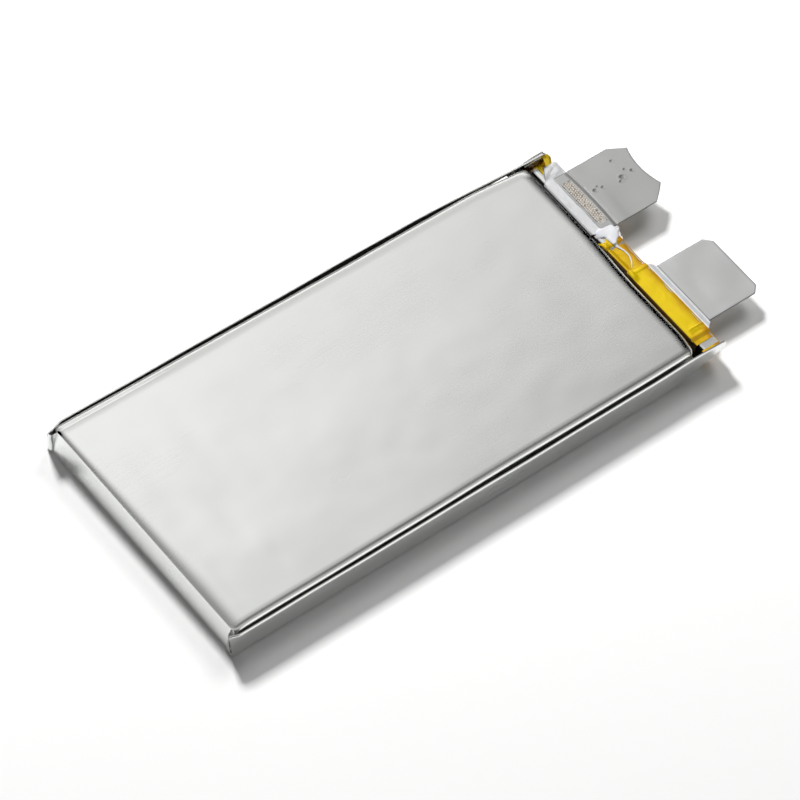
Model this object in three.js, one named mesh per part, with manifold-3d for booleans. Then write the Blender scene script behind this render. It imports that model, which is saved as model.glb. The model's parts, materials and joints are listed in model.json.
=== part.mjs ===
// A lithium-polymer pouch battery cell, 90 mm wide and 190 mm long over its seals.
//
// Axes: +X runs from the folded end to the tabs, +Y towards the positive tab's side and +Z up.
// The origin is the middle of the 190 mm pouch, on the back face that the cell rests on.
// All sizes are in millimetres.

import * as THREE from "three";
import { mergeVertices } from "three/addons/utils/BufferGeometryUtils.js";
import Module from "manifold-3d";

const wasm = await Module();
wasm.setup();

// ---------------------------------------------------------------- driving dimensions

const POUCH_LENGTH = 190;
const POUCH_WIDTH = 90;
const CELL_THICKNESS = 11.5;

const FILM = 0.15; // aluminium laminate
const SEAL = 2 * FILM; // two films fused together
const GAP = 0.02; // between pieces that touch in the real cell

const CUP_START = -93.5; // outside of the folded end wall
const CUP_END = 86.5; // outside of the wall at the tab end
const CUP_HALF_WIDTH = 43;
const CUP_CORNER = 3; // radius of the cup's upright corners
const CUP_SHOULDER = 1.5; // radius between the walls and the front face

const SIDE_SEAL_HEIGHT = 10.7;
const TERRACE_RISE = 6.5; // height of the tab-end seal's middle above the back face
const TERRACE_EDGE = POUCH_LENGTH / 2;
const TERRACE_BEND_RADIUS = 1;
const TERRACE_BEND_ANGLE = THREE.MathUtils.degToRad(75);

const TAB_THICKNESS = 0.2;
const SEALANT = 0.1;
const TAPE = 0.06;
const STACK_TAPE = 0.05;
const WELD_TAPE = 0.05;
const POSITIVE_LEAD = { y0: 6.6, y1: 40 };
const POSITIVE_TAB = { y0: 9.9, y1: 34.8, tip: 119, cut: 5.8, cutLow: 5.2, cutHigh: 3.2, hollow: 2.4 };
const NEGATIVE_TAB = { y0: -34.2, y1: -8.9, tip: 118.4, cut: 2.4 };
const POSITIVE_SEALANT_MARGIN = 1.4; // sealant film beside each tab
const NEGATIVE_SEALANT_MARGIN = 2.2;
const POSITIVE_SEALANT_OVERHANG = 0.9; // sealant film outside the seal's edge
const NEGATIVE_SEALANT_OVERHANG = 2;
const TAB_HINGE_GAP = 0.15; // from a tab's bend line to the metal on each side of it

const CATHODE_COUNT = 12;
const SHEET_PITCH = 0.42;
const SHEET_THICKNESS = 0.3;
const SEPARATOR = 0.06;
const STACK_BOTTOM = 0.28;
const ANODE = { x0: -90.8, x1: 77.6, halfWidth: 41 };
const CATHODE = { x0: -89.8, x1: 76.6, halfWidth: 40 };
const SEPARATOR_SPAN = { x0: -91.8, x1: 78.8, fold: 41.9 };
const SHEET_CORNER = 1.5;
const TAIL_OVERLAP = 1; // a sheet's tail starts this far inside it

const TAIL_WIDTH = 24;
const TAIL_THICKNESS = 0.06;
const TAIL_PITCH = 0.08;
const TAIL_DROP_START = 79; // tails run level to here, then drop to the pile
const TAIL_PILE_START = 82.4;
const TAIL_END = 84.5;
const SEALANT_START = 85.3;

// ---------------------------------------------------------------- derived dimensions

const TAB_HALF = TAB_THICKNESS / 2;
const SEALANT_INSIDE = TAB_HALF + GAP;
const FILM_INSIDE = SEALANT_INSIDE + SEALANT + GAP;
const FILM_OUTSIDE = FILM_INSIDE + FILM;
const TAPE_INSIDE = FILM_OUTSIDE + GAP;
const SEAM_LOW = FILM_OUTSIDE; // height of the tabs' middle inside the cup
const SEAM_RUN_START = CUP_END + 0.1;

const LEAD_RETURN = TAPE_INSIDE + TAPE + GAP + TAB_HALF; // folded-back lead above the seam
const LEAD_FOLD_CENTRE = TERRACE_EDGE + 1.4;
const LEAD_RETURN_END = 89.2;
const FOOT_RISE = TERRACE_RISE + LEAD_RETURN + TAB_THICKNESS + GAP;
const FOOT_START = 92.1;
const POSITIVE_HINGE = 97.9;
const NEGATIVE_HINGE = 97.4;

const SHEET_COUNT = 2 * CATHODE_COUNT + 1;
const TAIL_PILE_BOTTOM = SEAM_LOW + TAB_HALF + GAP;
const SEPARATOR_EDGE = SEPARATOR_SPAN.fold + (SHEET_PITCH + SEPARATOR) / 2;
const STACK_TOP = STACK_BOTTOM + SHEET_COUNT * SHEET_PITCH + SEPARATOR;

// ---------------------------------------------------------------- materials

const material = (color, roughness, metalness) =>
  new THREE.MeshStandardMaterial({ color, roughness, metalness });

const MATERIALS = {
  laminate: material(0xd9dbd9, 0.3, 0.9),
  polyimide: material(0xe0b000, 0.25, 0),
  aluminium: material(0xe4e6e8, 0.45, 0.9),
  nickel: material(0xb4b4b2, 0.35, 1),
  sealant: material(0xf2f3f5, 0.4, 0),
  separator: material(0xfbfbf7, 0.6, 0),
  cathode: material(0x2b2b2e, 0.9, 0),
  anode: material(0x3a3a3a, 0.85, 0),
  stackTape: material(0x2f7d4f, 0.35, 0),
};

// ---------------------------------------------------------------- shape helpers

function solidOf(geometry) {
  const bare = geometry.clone();
  bare.deleteAttribute("normal");
  bare.deleteAttribute("uv");
  const merged = mergeVertices(bare, 1e-4);
  return new wasm.Manifold(
    new wasm.Mesh({
      numProp: 3,
      vertProperties: new Float32Array(merged.attributes.position.array),
      triVerts: new Uint32Array(merged.index.array),
    }),
  );
}

function geometryOf(solid) {
  const mesh = solid.getMesh();
  return new THREE.BufferGeometry()
    .setAttribute("position", new THREE.BufferAttribute(mesh.vertProperties, 3))
    .setIndex(new THREE.BufferAttribute(mesh.triVerts, 1));
}

function join(geometries) {
  return geometries.map(solidOf).reduce((whole, solid) => whole.add(solid));
}

function block(x0, x1, y0, y1, z0, z1) {
  return new THREE.BoxGeometry(x1 - x0, y1 - y0, z1 - z0).translate(
    (x0 + x1) / 2,
    (y0 + y1) / 2,
    (z0 + z1) / 2,
  );
}

function roundedRectangle(x0, x1, y0, y1, radius) {
  const shape = new THREE.Shape();
  const quarter = Math.PI / 2;
  shape.absarc(x1 - radius, y1 - radius, radius, 0, quarter);
  shape.absarc(x0 + radius, y1 - radius, radius, quarter, 2 * quarter);
  shape.absarc(x0 + radius, y0 + radius, radius, 2 * quarter, 3 * quarter);
  shape.absarc(x1 - radius, y0 + radius, radius, 3 * quarter, 4 * quarter);
  shape.closePath();
  return shape;
}

// A flat plate with the outline given in X and Y.
function plate(shape, z0, z1, curveSegments = 5) {
  return new THREE.ExtrudeGeometry(shape, {
    depth: z1 - z0,
    bevelEnabled: false,
    curveSegments,
  }).translate(0, 0, z0);
}

// A solid with the outline given in X and Z, running along Y.
function profileAlongY(shape, y0, y1, curveSegments = 6) {
  return new THREE.ExtrudeGeometry(shape, {
    depth: y1 - y0,
    bevelEnabled: false,
    curveSegments,
  })
    .rotateX(Math.PI / 2)
    .translate(0, y1, 0);
}

// A solid with the outline given in Y and Z, running along X.
function profileAlongX(shape, x0, x1) {
  return new THREE.ExtrudeGeometry(shape, {
    depth: x1 - x0,
    bevelEnabled: false,
  })
    .rotateZ(Math.PI / 2)
    .rotateY(Math.PI / 2)
    .translate(x0, 0, 0);
}

// Points and upward normals along an arc about (x, z), from one angle to another. The normal points
// to the centre on an arc that curves up, and away from it on an arc that curves down.
function arcSamples(x, z, radius, from, to, towardsCentre, steps = 6) {
  const sign = towardsCentre ? -1 : 1;
  return Array.from({ length: steps + 1 }, (_, i) => {
    const angle = from + ((to - from) * i) / steps;
    const normal = new THREE.Vector2(Math.cos(angle), Math.sin(angle));
    const point = normal.clone().multiplyScalar(radius).add(new THREE.Vector2(x, z));
    return { point, normal: normal.multiplyScalar(sign) };
  });
}

// The band between two offsets from a path, as an outline.
function band(samples, low, high) {
  const side = (offset) =>
    samples.map(({ point, normal }) => point.clone().addScaledVector(normal, offset));
  return new THREE.Shape([...side(low), ...side(high).reverse()]);
}

// ---------------------------------------------------------------- the tab-end seal's path

// The middle of the seal in X and Z: level inside the cup, up in an S-bend, then level to xEnd.
function seamPath(xStart, xEnd) {
  const up = new THREE.Vector2(0, 1);
  const radius = TERRACE_BEND_RADIUS;
  const angle = TERRACE_BEND_ANGLE;
  const quarter = Math.PI / 2;
  const slopeRise = TERRACE_RISE - SEAM_LOW - 2 * radius * (1 - Math.cos(angle));
  const topBend = SEAM_RUN_START + 2 * radius * Math.sin(angle) + slopeRise / Math.tan(angle);
  const samples = [
    { point: new THREE.Vector2(Math.min(xStart, SEAM_RUN_START), SEAM_LOW), normal: up },
    ...arcSamples(SEAM_RUN_START, SEAM_LOW + radius, radius, -quarter, angle - quarter, true),
    ...arcSamples(topBend, TERRACE_RISE - radius, radius, quarter + angle, quarter, false),
    { point: new THREE.Vector2(xEnd, TERRACE_RISE), normal: up },
  ];
  if (xStart <= SEAM_RUN_START) return samples;
  const next = samples.findIndex(({ point }) => point.x > xStart);
  const [a, b] = [samples[next - 1], samples[next]];
  const share = (xStart - a.point.x) / (b.point.x - a.point.x);
  const start = {
    point: a.point.clone().lerp(b.point, share),
    normal: a.normal.clone().lerp(b.normal, share).normalize(),
  };
  return [start, ...samples.slice(next)];
}

function seamLayer(xStart, xEnd, low, high, y0, y1) {
  return profileAlongY(band(seamPath(xStart, xEnd), low, high), y0, y1);
}

const widen = ({ y0, y1 }, margin) => ({ y0: y0 - margin, y1: y1 + margin });
const POSITIVE_SEALANT = widen(POSITIVE_LEAD, POSITIVE_SEALANT_MARGIN);
const NEGATIVE_SEALANT = widen(NEGATIVE_TAB, NEGATIVE_SEALANT_MARGIN);

// ---------------------------------------------------------------- pouch

// The cup's outline as a solid block with rounded corners and a rounded shoulder, shrunk by inset.
function cupBlock(inset, zBottom) {
  const bevel = CUP_SHOULDER - inset;
  const top = CELL_THICKNESS - inset;
  const radius = CUP_CORNER - inset;
  const outline = roundedRectangle(
    CUP_START + inset + bevel,
    CUP_END - inset - bevel,
    -CUP_HALF_WIDTH + inset + bevel,
    CUP_HALF_WIDTH - inset - bevel,
    radius - bevel,
  );
  const rounded = new THREE.ExtrudeGeometry(outline, {
    depth: top - bevel,
    bevelThickness: bevel,
    bevelSize: bevel,
    bevelSegments: 5,
    curveSegments: 5,
  });
  const limit = 2 * POUCH_LENGTH;
  const above = block(-limit, limit, -limit, limit, zBottom, limit);
  return solidOf(rounded).intersect(solidOf(above));
}

const END_CORNER = 0.8; // cut off the side seals' corners at the folded end

// The side seal folded up beside the cup. Its lower edge sweeps up under the tab-end seal.
function sideSealShape() {
  const start = -TERRACE_EDGE;
  const tip = TERRACE_EDGE;
  const tipCorner = 1.6;
  const topCorner = 0.3;
  const sweep = { start: CUP_END - 2, bend: CUP_END + 1.5, lift: 0.2, end: TERRACE_RISE - FILM_OUTSIDE };
  const shape = new THREE.Shape();
  shape.moveTo(start + END_CORNER, 0);
  shape.lineTo(sweep.start, 0);
  shape.quadraticCurveTo(sweep.bend, sweep.lift, tip - tipCorner, sweep.end - tipCorner / 3);
  shape.quadraticCurveTo(tip, sweep.end, tip, sweep.end + tipCorner);
  shape.lineTo(tip, SIDE_SEAL_HEIGHT - topCorner);
  shape.lineTo(tip - topCorner, SIDE_SEAL_HEIGHT);
  shape.lineTo(start + END_CORNER, SIDE_SEAL_HEIGHT);
  shape.lineTo(start, SIDE_SEAL_HEIGHT - END_CORNER);
  shape.lineTo(start, END_CORNER);
  shape.closePath();
  return shape;
}

// One side's seal: the upright flange, the strip under it and the ear at the folded end.
function sideSeal(side) {
  const edge = POUCH_WIDTH / 2;
  const along = (a, b) => (side > 0 ? [a, b] : [-b, -a]);
  const upright = profileAlongY(sideSealShape(), ...along(edge - SEAL, edge));
  const strip = block(
    -TERRACE_EDGE + END_CORNER,
    CUP_END,
    ...along(CUP_HALF_WIDTH - FILM / 2, edge - SEAL / 2),
    0,
    SEAL,
  );
  const root = { x: CUP_START, y: side * (CUP_HALF_WIDTH - 1.8) };
  const tip = { x: CUP_START - 1.2, y: side * (edge - SEAL / 2) };
  const ear = new THREE.Shape();
  ear.moveTo(root.x, root.y);
  ear.lineTo(tip.x, tip.y);
  ear.lineTo(tip.x + SEAL, tip.y);
  ear.lineTo(root.x + SEAL, root.y);
  ear.closePath();
  const earHeight = SIDE_SEAL_HEIGHT - 0.4;
  return [upright, strip, plate(ear, 0, earHeight)];
}

// The tab-end seal. The two films are fused except where they pass round a tab and its sealant.
function terrace() {
  const edge = POUCH_WIDTH / 2 - SEAL / 2;
  const start = CUP_END - FILM;
  const end = TERRACE_EDGE;
  const fusedTop = -FILM_OUTSIDE + SEAL;
  const layers = [seamLayer(start, end, -FILM_OUTSIDE, fusedTop, -edge, edge)];
  for (const { y0, y1 } of [POSITIVE_SEALANT, NEGATIVE_SEALANT]) {
    layers.push(
      seamLayer(start, end, -FILM_OUTSIDE, FILM_OUTSIDE, y0 - GAP - FILM, y1 + GAP + FILM),
    );
  }
  return layers;
}

function tabSlot({ y0, y1 }) {
  return solidOf(
    seamLayer(CUP_END - 2, TERRACE_EDGE + 1, -FILM_INSIDE, FILM_INSIDE, y0 - GAP, y1 + GAP),
  );
}

// One laminate sheet: folded at -X, drawn into a cup, and sealed along both sides and at +X.
function pouchFilm() {
  const seals = join([...sideSeal(1), ...sideSeal(-1), ...terrace()]);
  return cupBlock(0, 0)
    .add(seals)
    .subtract(cupBlock(FILM, FILM))
    .subtract(tabSlot(POSITIVE_SEALANT))
    .subtract(tabSlot(NEGATIVE_SEALANT));
}

// ---------------------------------------------------------------- tape and sealant on the seal

const TAPE_START = 87.9;
const TAPE_END = TERRACE_EDGE + 0.4;
const TAPE_HALF_WIDTH = 43.6;

// The low and high offsets of a layer that starts at inside, above (side 1) or below (side -1).
function layerOutside(inside, thickness, side) {
  return side > 0 ? [inside, inside + thickness] : [-inside - thickness, -inside];
}

function terraceTape(side) {
  const layer = layerOutside(TAPE_INSIDE, TAPE, side);
  return seamLayer(TAPE_START, TAPE_END, ...layer, -TAPE_HALF_WIDTH, TAPE_HALF_WIDTH);
}

function sealantFilm({ y0, y1 }, side, xEnd) {
  return seamLayer(SEALANT_START, xEnd, ...layerOutside(SEALANT_INSIDE, SEALANT, side), y0, y1);
}

// ---------------------------------------------------------------- tabs

const LEAD_START = 79.6;

// The aluminium lead comes out of the seal and folds back over it.
function positiveLead() {
  const quarter = Math.PI / 2;
  const radius = LEAD_RETURN / 2;
  const samples = [
    ...seamPath(LEAD_START, LEAD_FOLD_CENTRE - GAP),
    ...arcSamples(LEAD_FOLD_CENTRE, TERRACE_RISE + radius, radius, -quarter, quarter, true),
    {
      point: new THREE.Vector2(LEAD_RETURN_END, TERRACE_RISE + LEAD_RETURN),
      normal: new THREE.Vector2(0, -1),
    },
  ];
  const { y0, y1 } = POSITIVE_LEAD;
  return profileAlongY(band(samples, -TAB_HALF, TAB_HALF), y0, y1);
}

// The part of the nickel-plated strip that is welded to the aluminium lead.
function positiveTabFoot() {
  const { y0, y1 } = POSITIVE_TAB;
  const end = POSITIVE_HINGE - TAB_HINGE_GAP;
  return block(FOOT_START, end, y0, y1, FOOT_RISE - TAB_HALF, FOOT_RISE + TAB_HALF);
}

// The free blade of the positive tab, with cut corners and a hollow tip.
function positiveTabBlade() {
  const { y0, y1, tip, cut, cutLow, cutHigh, hollow } = POSITIVE_TAB;
  const shape = new THREE.Shape();
  shape.moveTo(POSITIVE_HINGE + TAB_HINGE_GAP, y0);
  shape.lineTo(tip - cut, y0);
  shape.lineTo(tip, y0 + cutLow);
  shape.quadraticCurveTo(tip - hollow, (y0 + y1) / 2, tip, y1 - cutHigh);
  shape.lineTo(tip - cut, y1);
  shape.lineTo(POSITIVE_HINGE + TAB_HINGE_GAP, y1);
  shape.closePath();
  return plate(shape, FOOT_RISE - TAB_HALF, FOOT_RISE + TAB_HALF, 8);
}

function negativeLead() {
  const end = NEGATIVE_HINGE - TAB_HINGE_GAP;
  const { y0, y1 } = NEGATIVE_TAB;
  return seamLayer(LEAD_START, end, -TAB_HALF, TAB_HALF, y0, y1);
}

function negativeTabBlade() {
  const { y0, y1, tip, cut } = NEGATIVE_TAB;
  const shape = new THREE.Shape();
  shape.moveTo(NEGATIVE_HINGE + TAB_HINGE_GAP, y0);
  shape.lineTo(tip - cut, y0);
  shape.lineTo(tip, y0 + cut);
  shape.lineTo(tip, y1 - cut);
  shape.lineTo(tip - cut, y1);
  shape.lineTo(NEGATIVE_HINGE + TAB_HINGE_GAP, y1);
  shape.closePath();
  return plate(shape, TERRACE_RISE - TAB_HALF, TERRACE_RISE + TAB_HALF);
}

// ---------------------------------------------------------------- electrode stack

const sheetMiddle = (k) => STACK_BOTTOM + SEPARATOR / 2 + (k + 0.5) * SHEET_PITCH;

// A coated sheet with its bare foil tail, which runs out between the separator's layers and down
// to the pile of tails that is welded to the lead. Tails keep their upright thickness on the slope.
function electrode(k, { x0, x1, halfWidth }, tailMiddleY, pileIndex) {
  const z = sheetMiddle(k);
  const sheet = plate(
    roundedRectangle(x0, x1, -halfWidth, halfWidth, SHEET_CORNER),
    z - SHEET_THICKNESS / 2,
    z + SHEET_THICKNESS / 2,
    3,
  );
  const pileZ = TAIL_PILE_BOTTOM + TAIL_THICKNESS / 2 + pileIndex * TAIL_PITCH;
  const up = new THREE.Vector2(0, 1);
  const corners = [
    [x1 - TAIL_OVERLAP, z],
    [TAIL_DROP_START, z],
    [TAIL_PILE_START, pileZ],
    [TAIL_END, pileZ],
  ];
  const samples = corners.map(([x, height]) => ({ point: new THREE.Vector2(x, height), normal: up }));
  const tail = profileAlongY(
    band(samples, -TAIL_THICKNESS / 2, TAIL_THICKNESS / 2),
    tailMiddleY - TAIL_WIDTH / 2,
    tailMiddleY + TAIL_WIDTH / 2,
  );
  return join([sheet, tail]);
}

// The separator is one long ribbon, folded in a Z round the edge of each sheet in turn.
function separator() {
  const quarter = Math.PI / 2;
  const { x0, x1, fold } = SEPARATOR_SPAN;
  const radius = SHEET_PITCH / 2;
  const layerZ = (i) => STACK_BOTTOM + SEPARATOR / 2 + i * SHEET_PITCH;
  const up = new THREE.Vector2(0, 1);
  const samples = [{ point: new THREE.Vector2(-fold, layerZ(0)), normal: up }];
  for (let i = 0; i < SHEET_COUNT; i += 1) {
    const right = i % 2 === 0;
    const turn = right ? [-quarter, quarter] : [-quarter, -3 * quarter];
    samples.push(
      ...arcSamples(right ? fold : -fold, layerZ(i) + radius, radius, ...turn, right, 5),
    );
  }
  const lastSide = SHEET_COUNT % 2 === 0 ? 1 : -1;
  samples.push({
    point: new THREE.Vector2(lastSide * fold, layerZ(SHEET_COUNT)),
    normal: new THREE.Vector2(0, lastSide),
  });
  return profileAlongX(band(samples, -SEPARATOR / 2, SEPARATOR / 2), x0, x1);
}

// A tape clip that hooks round an edge of the stack, as a C in the plane across that edge.
function stackTapeShape(edge, reach) {
  const low = STACK_BOTTOM - GAP - STACK_TAPE;
  const high = STACK_TOP + GAP + STACK_TAPE;
  const inner = edge + GAP;
  const outer = inner + STACK_TAPE;
  const outline = [
    [edge - reach, low],
    [outer, low],
    [outer, high],
    [edge - reach, high],
    [edge - reach, high - STACK_TAPE],
    [inner, high - STACK_TAPE],
    [inner, low + STACK_TAPE],
    [edge - reach, low + STACK_TAPE],
  ];
  return new THREE.Shape(outline.map(([across, z]) => new THREE.Vector2(across, z)));
}

const STACK_TAPE_WIDTH = 25;
const STACK_TAPE_REACH = 7;

function sideStackTape(side, xMiddle) {
  const half = STACK_TAPE_WIDTH / 2;
  const shape = stackTapeShape(SEPARATOR_EDGE, STACK_TAPE_REACH);
  const tape = profileAlongX(shape, xMiddle - half, xMiddle + half);
  return side > 0 ? tape : tape.rotateZ(Math.PI).translate(2 * xMiddle, 0, 0);
}

function endStackTape() {
  const half = STACK_TAPE_WIDTH / 2;
  const shape = stackTapeShape(-SEPARATOR_SPAN.x0, STACK_TAPE_REACH);
  return profileAlongY(shape, -half, half).rotateZ(Math.PI);
}

// Insulating tape over or under the weld between a pile of tails and its lead.
function weldTape({ y0, y1 }, xStart, z) {
  const sideMargin = 1;
  const endMargin = 0.4;
  return block(xStart, TAIL_END + endMargin, y0 - sideMargin, y1 + sideMargin, z, z + WELD_TAPE);
}

// ---------------------------------------------------------------- assembly

const cell = new THREE.Group();

function add(name, geometry, finish) {
  const mesh = new THREE.Mesh(geometry.isBufferGeometry ? geometry : geometryOf(geometry), finish);
  mesh.name = name;
  cell.add(mesh);
}

add("pouch_film", pouchFilm(), MATERIALS.laminate);
add("terrace_tape_top", terraceTape(1), MATERIALS.polyimide);
add("terrace_tape_bottom", terraceTape(-1), MATERIALS.polyimide);

const sealants = [
  ["positive", POSITIVE_SEALANT, TERRACE_EDGE + POSITIVE_SEALANT_OVERHANG],
  ["negative", NEGATIVE_SEALANT, TERRACE_EDGE + NEGATIVE_SEALANT_OVERHANG],
];
for (const [pole, span, xEnd] of sealants) {
  add(`${pole}_sealant_upper`, sealantFilm(span, 1, xEnd), MATERIALS.sealant);
  add(`${pole}_sealant_lower`, sealantFilm(span, -1, xEnd), MATERIALS.sealant);
}

add("positive_lead", positiveLead(), MATERIALS.aluminium);
add("positive_tab_foot", positiveTabFoot(), MATERIALS.nickel);
add("positive_tab_blade", positiveTabBlade(), MATERIALS.nickel);
add("negative_lead", negativeLead(), MATERIALS.nickel);
add("negative_tab_blade", negativeTabBlade(), MATERIALS.nickel);

const middle = ({ y0, y1 }) => (y0 + y1) / 2;
for (let k = 0; k < SHEET_COUNT; k += 1) {
  const order = Math.floor(k / 2);
  if (k % 2 === 0) {
    const sheet = electrode(k, ANODE, middle(NEGATIVE_TAB), order);
    add(`anode_sheet_${order + 1}`, sheet, MATERIALS.anode);
  } else {
    const sheet = electrode(k, CATHODE, middle(POSITIVE_LEAD), order);
    add(`cathode_sheet_${order + 1}`, sheet, MATERIALS.cathode);
  }
}
add("separator", separator(), MATERIALS.separator);

for (const [place, xMiddle] of [["fold_end", -48], ["tab_end", 38]]) {
  add(`stack_tape_left_${place}`, sideStackTape(1, xMiddle), MATERIALS.stackTape);
  add(`stack_tape_right_${place}`, sideStackTape(-1, xMiddle), MATERIALS.stackTape);
}
add("stack_tape_end", endStackTape(), MATERIALS.stackTape);

const weldTapeLow = FILM + GAP;
const weldTapeHigh = (count) => TAIL_PILE_BOTTOM + count * TAIL_PITCH + GAP;
const upperWeldTapeStart = TAIL_PILE_START + 0.2;
const leads = [
  ["positive", POSITIVE_LEAD, CATHODE_COUNT],
  ["negative", NEGATIVE_TAB, CATHODE_COUNT + 1],
];
for (const [pole, lead, tails] of leads) {
  const upper = weldTape(lead, upperWeldTapeStart, weldTapeHigh(tails));
  add(`${pole}_weld_tape_lower`, weldTape(lead, LEAD_START, weldTapeLow), MATERIALS.polyimide);
  add(`${pole}_weld_tape_upper`, upper, MATERIALS.polyimide);
}

export default cell;
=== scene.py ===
"""The looks of a lithium-polymer pouch cell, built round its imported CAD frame.

Positions and sizes below are millimetres in the row's frame: +X runs towards the tabs, +Y towards the
positive tab's side and +Z up. add_piece() turns them into metres.
"""

import json
import math
from collections import namedtuple

import bmesh
import bpy
import numpy as np
from mathutils import Matrix, Vector, noise


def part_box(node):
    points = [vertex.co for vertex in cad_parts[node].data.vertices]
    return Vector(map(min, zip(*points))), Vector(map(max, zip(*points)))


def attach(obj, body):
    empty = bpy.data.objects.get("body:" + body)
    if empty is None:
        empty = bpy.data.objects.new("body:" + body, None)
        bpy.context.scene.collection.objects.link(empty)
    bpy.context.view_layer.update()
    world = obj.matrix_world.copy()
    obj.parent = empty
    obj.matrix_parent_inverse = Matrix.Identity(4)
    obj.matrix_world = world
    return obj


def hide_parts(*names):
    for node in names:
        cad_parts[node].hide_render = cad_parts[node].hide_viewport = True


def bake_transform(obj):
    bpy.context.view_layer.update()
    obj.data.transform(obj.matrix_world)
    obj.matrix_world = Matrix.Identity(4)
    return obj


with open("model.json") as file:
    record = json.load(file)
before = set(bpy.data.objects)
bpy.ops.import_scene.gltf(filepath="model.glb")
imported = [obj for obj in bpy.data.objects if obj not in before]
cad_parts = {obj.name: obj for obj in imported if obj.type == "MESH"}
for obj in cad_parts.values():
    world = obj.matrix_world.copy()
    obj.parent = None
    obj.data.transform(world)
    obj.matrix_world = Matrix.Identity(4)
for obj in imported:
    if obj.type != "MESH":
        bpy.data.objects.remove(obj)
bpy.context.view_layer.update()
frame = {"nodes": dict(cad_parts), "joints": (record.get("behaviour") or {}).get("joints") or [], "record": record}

MM = 0.001


def box_mm(node):
    low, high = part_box(node)
    return low / MM, high / MM


# ---- sizes from the frame

POUCH_LOW, POUCH_HIGH = box_mm("pouch_film")
POUCH_HALF_WIDTH = POUCH_HIGH.y
THICKNESS = POUCH_HIGH.z
FILM = 0.15
SEAL = 2 * FILM
GAP = 0.02

CUP_START = POUCH_LOW.x + 1.5
CUP_END = POUCH_HIGH.x - 8.5
CUP_HALF_WIDTH = POUCH_HALF_WIDTH - 2
CUP_CORNER = 2.6
CUP_SHOULDER = 1.7
SHOULDER_DROP = 1.5
CUP_DRAFT = 0.25

SEAL_HEIGHT = THICKNESS - 0.8
SEAL_FOLD_RADIUS = 0.6
TERRACE_EDGE = POUCH_HIGH.x
TERRACE_BEND_RADIUS = 1.0
TERRACE_BEND_ANGLE = math.radians(75)

NEGATIVE_BLADE_LOW, NEGATIVE_BLADE_HIGH = box_mm("negative_tab_blade")
POSITIVE_BLADE_LOW, POSITIVE_BLADE_HIGH = box_mm("positive_tab_blade")
FOOT_LOW, FOOT_HIGH = box_mm("positive_tab_foot")
LEAD_LOW, LEAD_HIGH = box_mm("positive_lead")
NEGATIVE_LEAD_LOW, _ = box_mm("negative_lead")
SEALANT_LOW, SEALANT_HIGH = box_mm("negative_sealant_upper")
POSITIVE_SEALANT_LOW, POSITIVE_SEALANT_HIGH = box_mm("positive_sealant_upper")
TAPE_LOW, TAPE_HIGH = box_mm("terrace_tape_top")

TAB = NEGATIVE_BLADE_HIGH.z - NEGATIVE_BLADE_LOW.z
TERRACE_RISE = (NEGATIVE_BLADE_HIGH.z + NEGATIVE_BLADE_LOW.z) / 2
FOOT_RISE = (FOOT_HIGH.z + FOOT_LOW.z) / 2
SEAM_HALF = 0.39  # from the middle of the tab-end seal to its outside, where a tab passes through it
SEAM_LOW = SEAM_HALF
HINGES = {j["child"]: Vector(j["pos_m"]) / MM for j in frame["joints"]}


# ---- numbers and curves

def smoothstep(low, high, value):
    t = np.clip((np.asarray(value, float) - low) / (high - low), 0, 1)
    return t * t * (3 - 2 * t)


def window(low, high, ramp, value):
    """1 between low and high, falling to 0 over ramp outside them."""
    return smoothstep(low - ramp, low, value) * (1 - smoothstep(high, high + ramp, value))


def bell(centre, width, value):
    return np.exp(-(((np.asarray(value, float) - centre) / width) ** 2))


def wobble(x, y, scale_x, scale_y, seed):
    """Smooth noise from about -1 to 1 at each x and y."""
    x, y = np.broadcast_arrays(np.asarray(x, float), np.asarray(y, float))
    values = [noise.noise(Vector((a / scale_x, b / scale_y, seed))) for a, b in zip(x.ravel(), y.ravel())]
    return 2 * np.array(values).reshape(x.shape)


def spaced(low, high, step):
    return np.linspace(low, high, max(1, round((high - low) / step)) + 1)


def edge_refined(low, high, block, block_steps, step):
    """Values from low to high, closer together within block of each end."""
    first = np.linspace(low, low + block, block_steps + 1)
    last = np.linspace(high - block, high, block_steps + 1)
    middle = spaced(low + block, high - block, step)
    return np.concatenate([first[:-1], middle[:-1], last])


def run_lengths(points):
    """The distance along a polyline at each of its points."""
    return np.concatenate([[0], np.cumsum(np.linalg.norm(np.diff(points, axis=0), axis=1))])


def resample(points, count):
    """count points evenly spaced along a polyline, with its unit normals to the left of travel."""
    points = np.asarray(points, float)
    lengths = run_lengths(points)
    along = np.linspace(0, lengths[-1], count)
    even = np.stack([np.interp(along, lengths, points[:, k]) for k in range(points.shape[1])], 1)
    tangent = np.gradient(even, axis=0)
    tangent /= np.linalg.norm(tangent, axis=1, keepdims=True)
    return even, np.stack([-tangent[:, 1], tangent[:, 0]], 1)


def offset_by(x, y, points):
    """Points that are given from a corner or an edge, moved to it."""
    return [(x + dx, y + dy) for dx, dy in points]


def arc(centre, radius, start, end, steps=10):
    angles = np.linspace(start, end, steps + 1)
    return [(centre[0] + radius * math.cos(a), centre[1] + radius * math.sin(a)) for a in angles]


# ---- meshes

def grid(points):
    """Points and quads of an (n, m, 3) array of points."""
    n, m = points.shape[:2]
    index = np.arange(n * m).reshape(n, m)
    quads = np.stack([index[:-1, :-1], index[1:, :-1], index[1:, 1:], index[:-1, 1:]], -1)
    return points.reshape(-1, 3), quads.reshape(-1, 4).tolist()


def vertex_normals(points, faces):
    normals = np.zeros_like(points)
    for face in faces:
        a, b, c, d = (points[face[k % len(face)]] for k in (0, 1, 2, 3))
        normal = np.cross(c - a, d - b) if len(face) == 4 else np.cross(b - a, c - a)
        for v in face:
            normals[v] += normal
    return normals / np.maximum(np.linalg.norm(normals, axis=1, keepdims=True), 1e-12)


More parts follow.
